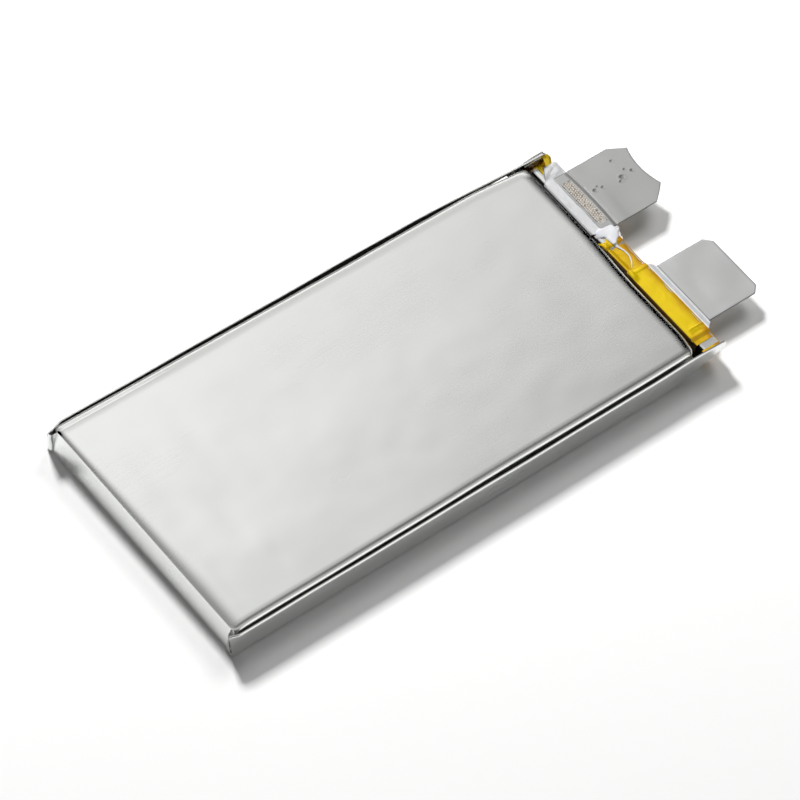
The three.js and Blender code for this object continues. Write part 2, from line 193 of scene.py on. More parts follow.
def thicken(points, faces, thickness):
    """Closes an open sheet by adding a second skin, thickness behind the first."""
    points = np.asarray(points, float)
    count = len(points)
    depth = np.broadcast_to(np.asarray(thickness, float).ravel(), (count,))
    behind = points - vertex_normals(points, faces) * depth[:, None]
    directed = {(f[k], f[(k + 1) % len(f)]) for f in faces for k in range(len(f))}
    rim = [(a, b) for a, b in directed if (b, a) not in directed]
    back = [[v + count for v in reversed(f)] for f in faces]
    sides = [[b, a, a + count, b + count] for a, b in sorted(rim)]
    return np.vstack([points, behind]), [list(f) for f in faces] + back + sides


def row_at(x, ys, z):
    """A row of points across the cell; x and z are one number, or a number for each y."""
    return np.column_stack(np.broadcast_arrays(x, ys, z))


def sheet(rows, thickness, face_down=False):
    """A closed film from rows of points, with its outer side up, or down."""
    points, faces = grid(np.array(rows))
    return thicken(points, [f[::-1] for f in faces] if face_down else faces, thickness)


def merged(*meshes):
    points, faces = [], []
    for mesh_points, mesh_faces in meshes:
        start = sum(len(p) for p in points)
        points.append(mesh_points)
        faces += [[v + start for v in f] for f in mesh_faces]
    return np.vstack(points), faces


def add_piece(name, mesh, material, sharp_angle=35):
    """A smooth-shaded mesh object from points in millimetres and faces that point out."""
    points, faces = mesh
    data = bpy.data.meshes.new(name)
    data.from_pydata((np.asarray(points) * MM).tolist(), [], faces)
    data.validate()
    bm = bmesh.new()
    bm.from_mesh(data)
    bmesh.ops.recalc_face_normals(bm, faces=bm.faces)
    limit = math.radians(sharp_angle)
    for face in bm.faces:
        face.smooth = True
    for edge in bm.edges:
        edge.smooth = len(edge.link_faces) == 2 and edge.calc_face_angle(0) < limit
    bm.to_mesh(data)
    bm.free()
    data.materials.append(material)
    piece = bpy.data.objects.new(name, data)
    bpy.context.scene.collection.objects.link(piece)
    return piece


def on_cell(piece):
    """A piece of its own, carried by the cell."""
    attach(piece, "cell")


def stand_for(piece, nodes, body="cell"):
    """A piece that takes the place of CAD nodes, carried by a body, or left unattached when body is None."""
    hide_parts(*nodes)
    if body:
        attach(piece, body)


# ---- material nodes

class Nodes:
    """Short calls that make and link the nodes of one tree."""

    def __init__(self, tree):
        self.tree = tree

    def put(self, socket, value):
        """Links a socket to another one, or gives it a plain value."""
        if isinstance(value, bpy.types.NodeSocket):
            self.tree.links.new(value, socket)
        else:
            socket.default_value = value

    def node(self, kind, inputs=None, **settings):
        """A node with its settings, and a value or link for each input named or numbered."""
        node = self.tree.nodes.new(kind)
        for key, value in settings.items():
            setattr(node, key, value)
        for key, value in (inputs or {}).items():
            self.put(node.inputs[key], value)
        return node

    def math(self, operation, *values):
        return self.node("ShaderNodeMath", dict(enumerate(values)), operation=operation).outputs[0]

    def along(self, vector, axis):
        """How far a vector reaches along an axis."""
        dot = self.node("ShaderNodeVectorMath", {0: vector, 1: axis}, operation="DOT_PRODUCT")
        return dot.outputs["Value"]

    def rise(self, value, low, high):
        """Goes smoothly from 0 to 1 as value goes from low to high."""
        first, last = (0, 1) if low < high else (1, 0)
        inputs = {"Value": value, "From Min": min(low, high), "From Max": max(low, high)}
        inputs.update({"To Min": first, "To Max": last})
        return self.node("ShaderNodeMapRange", inputs, interpolation_type="SMOOTHSTEP").outputs["Result"]


class NodeMaterial(Nodes):
    """A material with a Principled shader, in the object's own coordinates."""

    def __init__(self, name):
        self.material = bpy.data.materials.new(name)
        self.material.use_nodes = True
        super().__init__(self.material.node_tree)
        self.shader = self.tree.nodes["Principled BSDF"]
        self.coordinates = self.node("ShaderNodeTexCoord").outputs["Object"]

    def finish(self, **values):
        """Sets the shader's inputs and gives the material."""
        for key, value in values.items():
            self.put(self.shader.inputs[key.replace("_", " ")], value)
        return self.material

    def scaled(self, scale):
        mapping = self.node("ShaderNodeMapping", {"Scale": scale, "Vector": self.coordinates})
        return mapping.outputs["Vector"]

    def noise(self, scale, detail=3, roughness=0.5, vector=None, distortion=0.0):
        inputs = {"Scale": scale, "Detail": detail, "Roughness": roughness, "Distortion": distortion}
        inputs["Vector"] = vector or self.coordinates
        return self.node("ShaderNodeTexNoise", inputs).outputs["Fac"]

    def ramp(self, factor, *stops):
        """A colour ramp, with each stop as (position, colour or grey value)."""
        node = self.node("ShaderNodeValToRGB", {"Fac": factor})
        elements = node.color_ramp.elements
        while len(elements) < len(stops):
            elements.new(0.5)
        for element, (position, value) in zip(elements, stops):
            element.position = position
            colour = value if isinstance(value, tuple) else (value,) * 3
            element.color = (*colour, 1)
        return node.outputs["Color"]

    def tones(self, noise, low, high):
        """Spreads a noise, which is mostly between 0.3 and 0.7, from one tone to another."""
        return self.ramp(noise, (0.3, low), (0.7, high))

    def mix(self, factor, a, b):
        a, b = ((*colour, 1) if isinstance(colour, tuple) else colour for colour in (a, b))
        return self.node("ShaderNodeMix", {0: factor, 6: a, 7: b}, data_type="RGBA").outputs[2]

    def between(self, axis, low, high):
        """Goes smoothly from 0 to 1 as the place along an axis goes from low to high, in mm."""
        place = self.node("ShaderNodeSeparateXYZ", {"Vector": self.coordinates}).outputs[axis]
        return self.rise(place, low * MM, high * MM)

    def spot(self, place, radius, ragged):
        """1 at a place in X and Y and 0 outside its radius, with an edge made uneven by a noise."""
        flat = self.node("ShaderNodeVectorMath", {0: self.coordinates, 1: (1, 1, 0)}, operation="MULTIPLY")
        ends = {0: flat.outputs["Vector"], 1: (*place, 0)}
        apart = self.node("ShaderNodeVectorMath", ends, operation="DISTANCE").outputs["Value"]
        uneven = self.math("MULTIPLY", self.math("SUBTRACT", ragged, 0.5), 1.6 * radius)
        return self.rise(self.math("ADD", apart, uneven), 1.5 * radius, 0.5 * radius)

    def bump(self, height, distance_mm, strength, normal=None):
        inputs = {"Strength": strength, "Distance": distance_mm * MM, "Height": height}
        if normal:
            inputs["Normal"] = normal
        return self.node("ShaderNodeBump", inputs).outputs["Normal"]


def laminate_material(name, relief):
    """Aluminium laminate: satin, with faint rolling streaks along X and a slightly uneven sheen."""
    m = NodeMaterial(name)
    streaks = m.noise(1, 4, 0.6, m.scaled((60, 2600, 2600)))
    broad = m.noise(30, 4, 0.55, m.scaled((0.7, 1.5, 1)))
    grain = m.noise(4200, 2, 0.5)
    dark, light = (0.86, 0.868, 0.845), (0.89, 0.90, 0.877)
    return m.finish(
        Metallic=1.0,
        Base_Color=m.tones(m.mix(0.6, streaks, broad), dark, light),
        Roughness=m.tones(m.mix(0.6, streaks, broad), 0.23, 0.29),
        Normal=m.bump(grain, 0.002, 0.1 * relief, m.bump(streaks, 0.003, 0.15 * relief)),
    )


def tape_material(name, bright, deep):
    """Amber tape: bright over the terrace, deeper towards its outer edge and past y = -34.5 towards -Y, and
    deepened by painted shade round the sealant thread near the lead's end.
    """
    m = NodeMaterial(name)
    cloud = m.noise(200, 4, 0.55, distortion=0.8)
    wrinkle = m.noise(500, 3, 0.5, m.scaled((1.0, 0.3, 1.0)))
    outward = m.between("X", TAPE_CREST + 2.6, TAPE_HIGH.x + 0.6)
    towards_low_y = m.between("Y", -34.5, -37.0)
    # middle: painted shade round the sealant thread, near the lead's end.
    middle = m.math("MULTIPLY", m.between("Y", -7.0, -5.0), m.between("Y", 9.0, 5.0))
    depth = m.math("ADD", m.math("MULTIPLY", outward, 0.85), m.math("MULTIPLY", towards_low_y, 0.5))
    depth = m.math("ADD", depth, m.math("MULTIPLY", middle, 0.45))
    depth = m.math("ADD", depth, m.math("MULTIPLY", m.math("SUBTRACT", cloud, 0.5), 0.9))
    return m.finish(
        Metallic=0.5,
        Base_Color=m.ramp(depth, (0.0, bright), (1.0, deep)),
        Roughness=0.26,
        Coat_Weight=0.25,
        Coat_Roughness=0.1,
        Normal=m.bump(wrinkle, 0.03, 0.3),
    )


def soft_aluminium_material():
    """Soft aluminium strip: white-silver and matt, faintly crumpled from being folded."""
    m = NodeMaterial("soft_aluminium")
    crumple = m.noise(380, 4, 0.55)
    rolled = m.noise(1, 4, 0.6, m.scaled((4200, 500, 4200)))
    return m.finish(
        Metallic=0.6,
        Base_Color=m.tones(rolled, (0.70, 0.705, 0.715), (0.86, 0.865, 0.87)),
        Roughness=m.tones(crumple, 0.34, 0.46),
        Normal=m.bump(rolled, 0.004, 0.3, m.bump(crumple, 0.03, 0.25)),
    )


def nickel_material(name, tone, marks=(), root=None):
    """Satin nickel plate with rolling marks, clouds and scuffs; root is the x of a thin dark line painted at its
    root, a painted shadow of the sealant's cut edge.
    """
    m = NodeMaterial(name)
    rolled = m.noise(1, 4, 0.6, m.scaled((90, 3600, 3600)))
    cloud = m.noise(110, 3, 0.5)
    scuff = m.noise(900, 5, 0.65, distortion=0.4)
    shade = m.mix(0.5, rolled, cloud)
    colour = m.tones(shade, tuple(0.94 * c for c in tone), tone)
    for x, y, radius in marks:
        stain = m.math("MULTIPLY", m.spot((x * MM, y * MM), 1.3 * radius * MM, scuff), 0.5)
        colour = m.mix(stain, colour, (0.2, 0.2, 0.205))
    # A painted shadow: a thin dark line where the sealant's cut edge meets the blade.
    if root:
        line = m.between("X", root, root + 0.05)
        line = m.math("MULTIPLY", line, m.between("X", root + 0.26, root + 0.16))
        colour = m.mix(m.math("MULTIPLY", line, 0.8), colour, (0.06, 0.06, 0.07))
    return m.finish(
        Metallic=1.0,
        Base_Color=colour,
        Roughness=m.tones(m.mix(0.4, shade, scuff), 0.28, 0.38),
        Normal=m.bump(scuff, 0.004, 0.25, m.bump(rolled, 0.004, 0.25)),
    )


def crease_highlight_material():
    """Nickel painted bright along the crease: a painted highlight where the crease's crest catches the light."""
    m = NodeMaterial("crease_painted_highlight")
    crease_streaks = m.noise(1, 3, 0.5, m.scaled((4000, 300, 4000)))
    return m.finish(
        Metallic=1.0,
        Base_Color=m.tones(crease_streaks, 0.90, 0.98),
        Roughness=m.tones(crease_streaks, 0.32, 0.42),
        Normal=m.bump(crease_streaks, 0.004, 0.2),
    )


def sheared_edge_material():
    """The dark, torn metal of a sheared edge."""
    m = NodeMaterial("sheared_edge")
    torn = m.noise(3000, 4, 0.6)
    return m.finish(
        Metallic=1.0,
        Base_Color=m.tones(torn, 0.14, 0.26),
        Roughness=m.tones(torn, 0.4, 0.6),
        Normal=m.bump(torn, 0.01, 0.4),
    )


def weld_material():
    """Nickel after ultrasonic welding: dark in the dimples, warm and bright on the pressed tops."""
    m = NodeMaterial("weld_pad")
    height = m.between("Z", FOOT_HIGH.z - 0.14, FOOT_HIGH.z + 0.12)
    stain = m.noise(900, 4, 0.6)
    level = m.math("ADD", height, m.math("MULTIPLY", m.math("SUBTRACT", stain, 0.5), 0.7))
    in_dimple, on_flank, on_top = (0.22, 0.19, 0.16), (0.70, 0.64, 0.56), (0.95, 0.90, 0.83)
    return m.finish(
        Metallic=0.75,
        Base_Color=m.ramp(level, (0.0, in_dimple), (0.25, on_flank), (0.7, on_top)),
        Roughness=m.tones(stain, 0.34, 0.5),
        Normal=m.bump(stain, 0.01, 0.3),
    )


def painted_shade_film_material():
    """The laminate inside the trough, painted near-black: painted shade where the trough lies in shadow."""
    m = NodeMaterial("laminate_painted_shade")
    dull = m.noise(500, 4, 0.6)
    return m.finish(
        Base_Color=m.tones(dull, 0.006, 0.02),
        IOR=1.02,
        Roughness=m.tones(dull, 0.7, 0.8),
    )


def sealant_material(name, tone):
    """Milky polypropylene film; tone is its lightness."""
    m = NodeMaterial(name)
    cloud = m.noise(300, 3, 0.5)
    thin, thick = (0.86 * tone, 0.875 * tone, 0.917 * tone), (tone, tone, 1.03 * tone)
    return m.finish(
        Base_Color=m.tones(cloud, thin, thick),
        Roughness=0.3,
        Subsurface_Weight=0.15,
        Subsurface_Scale=0.0005,
        Normal=m.bump(cloud, 0.03, 0.3),
    )


def powder_material(name, dark, light, roughness):
    """A matt coated or porous layer with a fine grain."""
    m = NodeMaterial(name)
    grain = m.noise(2600, 5, 0.7)
    blotch = m.noise(60, 3, 0.5)
    return m.finish(
        Base_Color=m.tones(m.mix(0.6, grain, blotch), dark, light),
        Roughness=roughness,
        Normal=m.bump(grain, 0.01, 0.5),
    )


def floor_material():
    m = NodeMaterial("floor")
    in_reflections = m.node("ShaderNodeLightPath").outputs["Is Glossy Ray"]
    seen, mirrored = (0.93, 0.93, 0.925), (0.86, 0.865, 0.87)
    return m.finish(Base_Color=m.mix(in_reflections, seen, mirrored), Roughness=0.9)


# ---- front film: the cup

FACE_X0 = CUP_START + CUP_SHOULDER + CUP_DRAFT
FACE_X1 = CUP_END - CUP_SHOULDER - CUP_DRAFT
FACE_HALF = CUP_HALF_WIDTH - CUP_SHOULDER - CUP_DRAFT
FACE_CORNER = CUP_CORNER - CUP_SHOULDER

# Shallow dents in the front face: x, y, half-length in x and y, depth
DENTS = [
    (-80, 8, 3.5, 16, 0.10), (-70, -14, 3.0, 14, 0.09), (-61, 14, 4.0, 18, 0.09), (-52, -4, 5.0, 15, 0.06),
    (-84, -26, 3.0, 9, 0.08), (-38, 20, 8.0, 12, 0.05), (18, -22, 14.0, 9, 0.05), (44, 10, 12.0, 14, 0.06),
    (66, -6, 7.0, 22, 0.06), (-66, -30, 2.2, 5, 0.06), (-74, 20, 2.0, 6, 0.06),
]

FOLD_LINE = 1.2  # from the face's rim out to the sharp fold at the folded end
FOLD_RADIUS = 0.3
FOLD_SLOPE = 0.37


def corner_place(x, y):
    """Moves a point of the square plan into the face's rounded corners, and gives the normal there."""
    ax = max(FACE_X0 + FACE_CORNER - x, x - FACE_X1 + FACE_CORNER, 0) / FACE_CORNER
    ay = max(abs(y) - FACE_HALF + FACE_CORNER, 0) / FACE_CORNER
    sx = 1 if x > 0 else -1
    sy = 1 if y > 0 else -1
    if ax == 0 or ay == 0:
        return x, y, (sx if ax >= ay else 0, sy if ay > ax else 0)
    px, py = ax * math.sqrt(1 - ay * ay / 2), ay * math.sqrt(1 - ax * ax / 2)
    core_x = (FACE_X1 if sx > 0 else FACE_X0) - sx * FACE_CORNER
    core_y = sy * (FACE_HALF - FACE_CORNER)
    length = math.hypot(px, py)
    place = (core_x + sx * px * FACE_CORNER, core_y + sy * py * FACE_CORNER)
    return (*place, (sx * px / length, sy * py / length))


def fold_drop(from_fold, y):
    """How far the face has sunk at a distance from the fold line; the slope is longer towards -Y."""
    reach = np.clip(5.2 - 0.06 * y, 2.6, 7)
    return FOLD_SLOPE / 3 * reach * np.clip(1 - from_fold / reach, 0, 1) ** 3


def rim_slope(from_rim, reach, drop):
    """How far the face has sunk near a rim where it slopes down by drop over its last stretch."""
    return drop * np.clip(1 - from_rim / reach, 0, 1) ** 2


def face_height(x, y):
    """How far the pressed face stands off its plane, by place."""
    inside = np.minimum.reduce([x - FACE_X0, FACE_X1 - x, FACE_HALF - np.abs(y)])
    height = 0.05 * wobble(x, y, 34, 20, 1.3) + 0.015 * wobble(x, y, 9, 7, 4.1)
    for dx, dy, length_x, length_y, depth in DENTS:
        height = height - depth * bell(dx, length_x, x) * bell(dy, length_y, y)
    height = height * smoothstep(0, 7, inside) - fold_drop(x - FACE_X0 + FOLD_LINE, y)
    groove = 0.07 * bell(FACE_HALF - 0.5, 0.28, y) * smoothstep(-40, -70, x)
    sides = rim_slope(FACE_HALF - y, 3.4, 0.30) + rim_slope(FACE_HALF + y, 1.3, 0.06)
    tab_end = rim_slope(FACE_X1 - x, 3.0, 0.45)
    return height - groove - sides - tab_end


def seal_flare(x, side):
    """How much further out a side stands towards the folded end."""
    return 0.25 - 0.003 * x if side > 0 else 0.35 - 0.006 * x


def bow(points):
    """The soft film's outline: full sides, a tab end that bows out, and its two corners drawn in."""
    x, y = points[:, 0], points[:, 1]
    left = smoothstep(30, CUP_HALF_WIDTH, y)
    right = smoothstep(30, CUP_HALF_WIDTH, -y)
    end = smoothstep(CUP_END - 18, CUP_END, x)
    corner = 1 - smoothstep(0, 9, np.hypot(x - CUP_END, y + CUP_HALF_WIDTH))
    shift_x = end * (0.2 - 1.3 * smoothstep(16, -14, y)) - 1.0 * corner
    full = np.where(y > 0, 0.95 - 0.007 * x, 1.25 - 0.009 * x) + 0.10 * wobble(x, np.sign(y), 30, 1, 7.7)
    shift_y = (left - right) * full - left * 1.5 * smoothstep(62, 86, x)
    return points + np.stack([shift_x, shift_y, np.zeros_like(x)], 1)


def shoulder_start(outward):
    """The angle at which the shoulder sets off, to carry on the slope that the face has at its rim."""
    towards_x, towards_y = outward
    return math.radians(28 * max(towards_x, 0) ** 2 + (14 if towards_y > 0 else 6.5) * towards_y ** 2)


def cup_profile(start):
    """Rings from the face's rim to the foot of a side wall: offset outwards and drop."""
    rings = []
    for a in np.linspace(start, math.pi / 2, 9)[1:]:
        offset = (math.sin(a) - math.sin(start)) / (1 - math.sin(start))
        drop = 1 - math.cos(a) / math.cos(start)
        rings.append((CUP_SHOULDER * offset, SHOULDER_DROP * drop))
    return rings + wall_profile(CUP_SHOULDER, SHOULDER_DROP)


def fold_profile(y):
    """The same number of rings where the face runs on to a sharp fold at the end wall."""
    at_rim = fold_drop(FOLD_LINE, y)
    rings = [(o, float(fold_drop(FOLD_LINE - o, y) - at_rim)) for o in np.linspace(0, FOLD_LINE, 6)[1:]]
    offset, drop = rings[-1]
    for a in np.radians([35, 62, 90]):
        rings.append((offset + FOLD_RADIUS * math.sin(a), drop + FOLD_RADIUS * (1 - math.cos(a))))
    return rings + wall_profile(*rings[-1])


def wall_profile(offset, drop):
    """Rings down the wall and round its foot, from where the shoulder ends."""
    foot = THICKNESS - FILM - 0.55
    end = CUP_SHOULDER + CUP_DRAFT
    rings = [(offset + (end - offset) * t, drop + (foot - drop) * t) for t in np.linspace(0, 1, 7)[1:]]
    for a in np.radians([22.5, 45, 67.5, 90]):
        rings.append((end - 0.5 * (1 - math.cos(a)), foot + 0.5 * math.sin(a)))
    return rings


def front_film():
    near_fold = spaced(FACE_X0, FACE_X0 + 7, 0.35)
    xs = np.concatenate([near_fold[:-1], edge_refined(near_fold[-1], FACE_X1, 3.2, 12, 1.5)])
    ys = edge_refined(-FACE_HALF, FACE_HALF, 3, 16, 1.5)
    placed = [[corner_place(x, y) for y in ys] for x in xs]
    plan = np.array([[(p[0], p[1], THICKNESS) for p in row] for row in placed])
    plan[:, :, 2] += face_height(plan[:, :, 0], plan[:, :, 1])
    points, faces = grid(plan)
    n, m = len(xs), len(ys)
    loop = [(i, 0) for i in range(n - 1)] + [(n - 1, j) for j in range(m - 1)]
    loop += [(i, m - 1) for i in range(n - 1, 0, -1)] + [(0, j) for j in range(m - 1, 0, -1)]
    rim = np.array([plan[i, j] for i, j in loop])
    outward = np.array([placed[i][j][2] for i, j in loop])
    corners = [k for k, (i, j) in enumerate(loop) if i in (0, n - 1) and j in (0, m - 1)]
    outward[corners] = np.sign(rim[corners, :2]) * math.sqrt(0.5)
    at_fold = np.clip(-outward[:, :1], 0, 1) ** 2
    plain = np.array([cup_profile(shoulder_start(way)) for way in outward]).transpose(1, 0, 2)
    folded = np.array([fold_profile(y) for y in rim[:, 1]]).transpose(1, 0, 2)
    profiles = plain * (1 - at_fold) + folded * at_fold
    full_depth = profiles[-1, :, 1]
    rows = [points]
    previous = [i * m + j for i, j in loop]
    for ring in profiles:
        start = sum(len(r) for r in rows)
        depth = ring[:, 1] * (rim[:, 2] - FILM) / full_depth
        rows.append(np.column_stack([rim[:, :2] + outward * ring[:, :1], rim[:, 2] - depth]))
        current = list(range(start, start + len(rim)))
        for k in range(len(rim)):
            after = (k + 1) % len(rim)
            faces.append([previous[k], current[k], current[after], previous[after]])
        previous = current
    return thicken(bow(np.vstack(rows)), faces, FILM)


# ---- the tab-end seal's path

def seam_path(x_start, x_end):
    """The middle of the seal in X and Z: level in the cup, up in an S-bend, then level to x_end."""
    r, angle, quarter = TERRACE_BEND_RADIUS, TERRACE_BEND_ANGLE, math.pi / 2
    run = CUP_END + 0.1
    slope_rise = TERRACE_RISE - SEAM_LOW - 2 * r * (1 - math.cos(angle))
    top = run + 2 * r * math.sin(angle) + slope_rise / math.tan(angle)
    path = [(x_start, SEAM_LOW)]
    path += arc((run, SEAM_LOW + r), r, -quarter, angle - quarter)
    path += arc((top, TERRACE_RISE - r), r, quarter + angle, quarter)
    path.append((x_end, TERRACE_RISE))
    return path


def trimmed(path, x_start):
    """The stretch of a path from x_start on."""
    return [p for p in path if p[0] >= x_start]


def over_tabs(y):
    """1 where a tab and its sealant lift the seal's upper film, 0 where the films are fused."""
    positive = window(POSITIVE_SEALANT_LOW.y - 0.3, POSITIVE_SEALANT_HIGH.y + 0.3, 0.9, y)
    negative = window(SEALANT_LOW.y - 0.3, SEALANT_HIGH.y + 0.3, 0.9, y)
    return np.maximum(positive, negative)


def seam_top(y):
    """Height of the terrace's upper face over the middle of the seal."""
    return -SEAM_HALF + SEAL + (2 * SEAM_HALF - SEAL) * over_tabs(y)


# ---- back film, side seals and terrace

SEAL_CURL_RADIUS = 0.75
SEAL_CURL = math.radians(82)
EAR_OVERHANG = 2.2  # how far the seal's top sticks out past the folded end
LIFT_START = CUP_END - 13.5  # from here on the side folds rise to the terrace
LIFT_END = TERRACE_EDGE - 2.5


def side_seal_profile():
    """Inward offset and height of the folded-up seal's outer face, from the fold to the curled top."""
    r = SEAL_FOLD_RADIUS
    profile = [(r - r * math.sin(a), r - r * math.cos(a)) for a in np.linspace(0, math.pi / 2, 7)]
    straight_top = SEAL_HEIGHT - SEAL_CURL_RADIUS * math.sin(SEAL_CURL)
    profile += [(0.0, h) for h in np.linspace(r, straight_top, 9)[1:]]
    for a in np.linspace(0, SEAL_CURL, 9)[1:]:
        inward = SEAL_CURL_RADIUS * (1 - math.cos(a))
        profile.append((inward, straight_top + SEAL_CURL_RADIUS * math.sin(a)))
    return profile


def seal_lean(x, side):
    """How far the top of a side seal leans in over the cup, along the cell."""
    if side > 0:
        at_fold = smoothstep(POUCH_LOW.x + 6.5, POUCH_LOW.x - 0.4, x)
        return 1.6 * at_fold + 2.0 * smoothstep(POUCH_HIGH.x - 53, POUCH_HIGH.x - 1, x)
    at_fold = smoothstep(POUCH_LOW.x + 3.2, POUCH_LOW.x - 0.2, x)
    return -0.5 + 1.1 * at_fold + 0.4 * bell(POUCH_HIGH.x - 15, 9, x)


def side_lift(x):
    """Height of the side fold, which climbs to the terrace and rounds off at its end."""
    rise = (TERRACE_RISE - SEAM_HALF) * np.clip((x - LIFT_START) / (LIFT_END - LIFT_START), 0, 1) ** 1.6
    past = np.clip((x - LIFT_END) / (TERRACE_EDGE - LIFT_END), 0, 1)
    return rise + 1.4 * (1 - math.sqrt(1 - 0.98 * past * past))


def back_film_stations():
    """Along the cell: where the floor, the fold line and the seal's top edge are, in X and Z."""
    stations = []
    start = CUP_START + 0.3
    for x in edge_refined(start, CUP_END - 1, 5, 8, 2.0):
        reach = (np.clip((start + 5 - x) / 5, 0, 1)) ** 2
        lift = 0.5 * np.clip((start + 0.8 - x) / 0.8, 0, 1) ** 2
        edge = (x - 0.4 * reach, lift + side_lift(x))
        stations.append(((x, 0), edge, (x - EAR_OVERHANG * reach, SEAL_HEIGHT - 0.3 * lift)))
    below, down = resample(seam_path(CUP_END - 1, TERRACE_EDGE), 34)
    below = below - down * SEAM_HALF
    for k in range(1, len(below)):
        s = k / (len(below) - 1)
        edge_x = CUP_END - 1 + (TERRACE_EDGE - CUP_END + 0.7) * s
        top_x = CUP_END - 1 + (TERRACE_EDGE - CUP_END + 0.9) * s
        top_z = SEAL_HEIGHT - 0.9 * smoothstep(0.86, 1, s) ** 2
        stations.append((tuple(below[k]), (edge_x, side_lift(edge_x)), (top_x, top_z)))
    return stations


def back_film():
    profile = side_seal_profile()
    inner = POUCH_HALF_WIDTH - SEAL_FOLD_RADIUS
    floor_y = edge_refined(-inner, inner, 3, 9, 2.0)[1:-1]
    rows, depths = [], []
    for (floor_x, floor_z), (edge_x, edge_z), (top_x, top_z) in back_film_stations():
        sides = {}
        for side in (1, -1):
            wall = []
            for offset, height in profile:
                share = height / SEAL_HEIGHT
                x = edge_x + (top_x - edge_x) * share
                lean = float(seal_lean(x, side)) * share ** 1.3
                y = side * (POUCH_HALF_WIDTH + seal_flare(x, side) - offset - lean)
                wall.append((x, y, edge_z + (top_z - edge_z) * share))
            sides[side] = wall
        blend = smoothstep(CUP_HALF_WIDTH + 0.3, inner, np.abs(floor_y))
        flare = np.where(floor_y > 0, seal_flare(floor_x, 1), -seal_flare(floor_x, -1))
        floor = row_at(
            floor_x + (edge_x - floor_x) * blend,
            floor_y + flare * blend,
            floor_z + (edge_z - floor_z) * blend,
        )
        raised = smoothstep(CUP_END - 0.5, CUP_END + 1.5, floor_x)
        thickness = FILM + (SEAL - FILM + (2 * SEAM_HALF - SEAL) * over_tabs(floor_y)) * raised
        thickness = thickness + (SEAL - thickness) * smoothstep(CUP_HALF_WIDTH, inner, np.abs(floor_y))
        rows.append(sides[-1][::-1] + floor.tolist() + sides[1])
        depths.append([SEAL] * len(profile) + thickness.tolist() + [SEAL] * len(profile))
    points = np.array(rows)
    x, y, z = points[..., 0], points[..., 1], points[..., 2]
    upright = smoothstep(0.5, 5, z) * smoothstep(POUCH_HALF_WIDTH - 1.6, POUCH_HALF_WIDTH - 0.4, np.abs(y))
    points[..., 1] -= np.sign(y) * upright * 0.08 * (1 + wobble(x, z, 22, 9, 2.2))
    inside = 1 - smoothstep(CUP_HALF_WIDTH - 5, CUP_HALF_WIDTH - 1, np.abs(y))
    flat = window(CUP_START + 4, CUP_END - 4, 3, x) * inside
    points[..., 2] += flat * 0.05 * (1 + wobble(x, y, 40, 22, 9.4))
    return sheet(points, np.array(depths), face_down=True)


def fold_ear(side):
    """The web of film that closes the pocket between the side seal and the cup at the folded end."""
    if side > 0:
        top = [(-0.2, -1.7), (-0.15, -2.1), (0.3, -2.45), (1.1, -2.55), (2.0, -2.4), (2.6, -2.8)]
    else:
        top = [(0, -0.6), (0.3, -1.1), (1.0, -1.4), (1.6, -1.7), (2.2, -2.1), (2.7, -2.6)]
    bottom = [(1.25, 0.1), (1.2, -0.8), (1.3, -1.6), (1.5, -2.2), (2.0, -2.4), (2.6, -2.8)]
    upper, _ = resample(offset_by(POUCH_LOW.x, POUCH_HALF_WIDTH, top), 14)
    lower, _ = resample(offset_by(POUCH_LOW.x, POUCH_HALF_WIDTH, bottom), 14)
    s = np.linspace(0, 1, len(upper))
    low = 1.0 - 0.7 * smoothstep(0, 0.7, s)
    high = SEAL_HEIGHT - 0.1 - 0.5 * np.sin(np.pi * np.clip(s * 0.9, 0, 1)) ** 2
    rows = []
    for share in np.linspace(0, 1, 14):
        plan = lower + (upper - lower) * share
        swell = 0.25 * math.sin(math.pi * share)
        rows.append(row_at(plan[:, 0] - swell, side * plan[:, 1], low + (high - low) * share))
    return sheet(rows, FILM, face_down=side < 0)


# ---- tape on the terrace

TAPE_FILM = 0.06
LEAF = 0.1  # thickness of the bare films that show beside the tape
BARE_PATCH_END = TAPE_LOW.y + 4.3
TAPE_CREST = CUP_END + 2.4  # where the tape turns from the trough's wall onto the terrace
CREST_RADIUS = 0.8


def tape_course(x_end):
    """The tape in X and Z: up the trough's wall, over a rounded crest and out along the terrace."""
    foot = TAPE_CREST - CREST_RADIUS
    path = [(foot - 0.1, 3.4), (foot, TERRACE_RISE - CREST_RADIUS - 0.6)]
    path += arc((TAPE_CREST, TERRACE_RISE - CREST_RADIUS), CREST_RADIUS, math.pi, math.pi / 2, 10)
    path.append((x_end, TERRACE_RISE))
    return path


def tape_lift(x, y):
    """Ridges in the upper tape: along the trough, across over the negative sealant's ends, and waves."""
    along = 0.5 * bell(TAPE_CREST + 0.1, 0.75, x) * window(-8, 5, 3, y)
    across = 0.16 * (bell(SEALANT_HIGH.y - 0.6, 0.35, y) + bell(SEALANT_LOW.y + 2.7, 0.22, y))
    across = across * smoothstep(TAPE_CREST, TAPE_CREST + 1.5, x)
    pleat = 0.12 * bell(SEALANT_LOW.y + 1, 0.5, y) * window(TAPE_CREST + 1.0, TAPE_HIGH.x - 2.2, 0.6, x)
    outer = -0.20 * smoothstep(TAPE_HIGH.x - 2.0, TAPE_HIGH.x, x) ** 2
    waves = 0.05 * wobble(x, y, 3.0, 6, 3.3) + 0.03 * wobble(x, y, 1.3, 2.2, 8.1)
    return along + across - pleat + outer + 0.06 + waves * smoothstep(TAPE_CREST - 1, TAPE_CREST + 1, x)


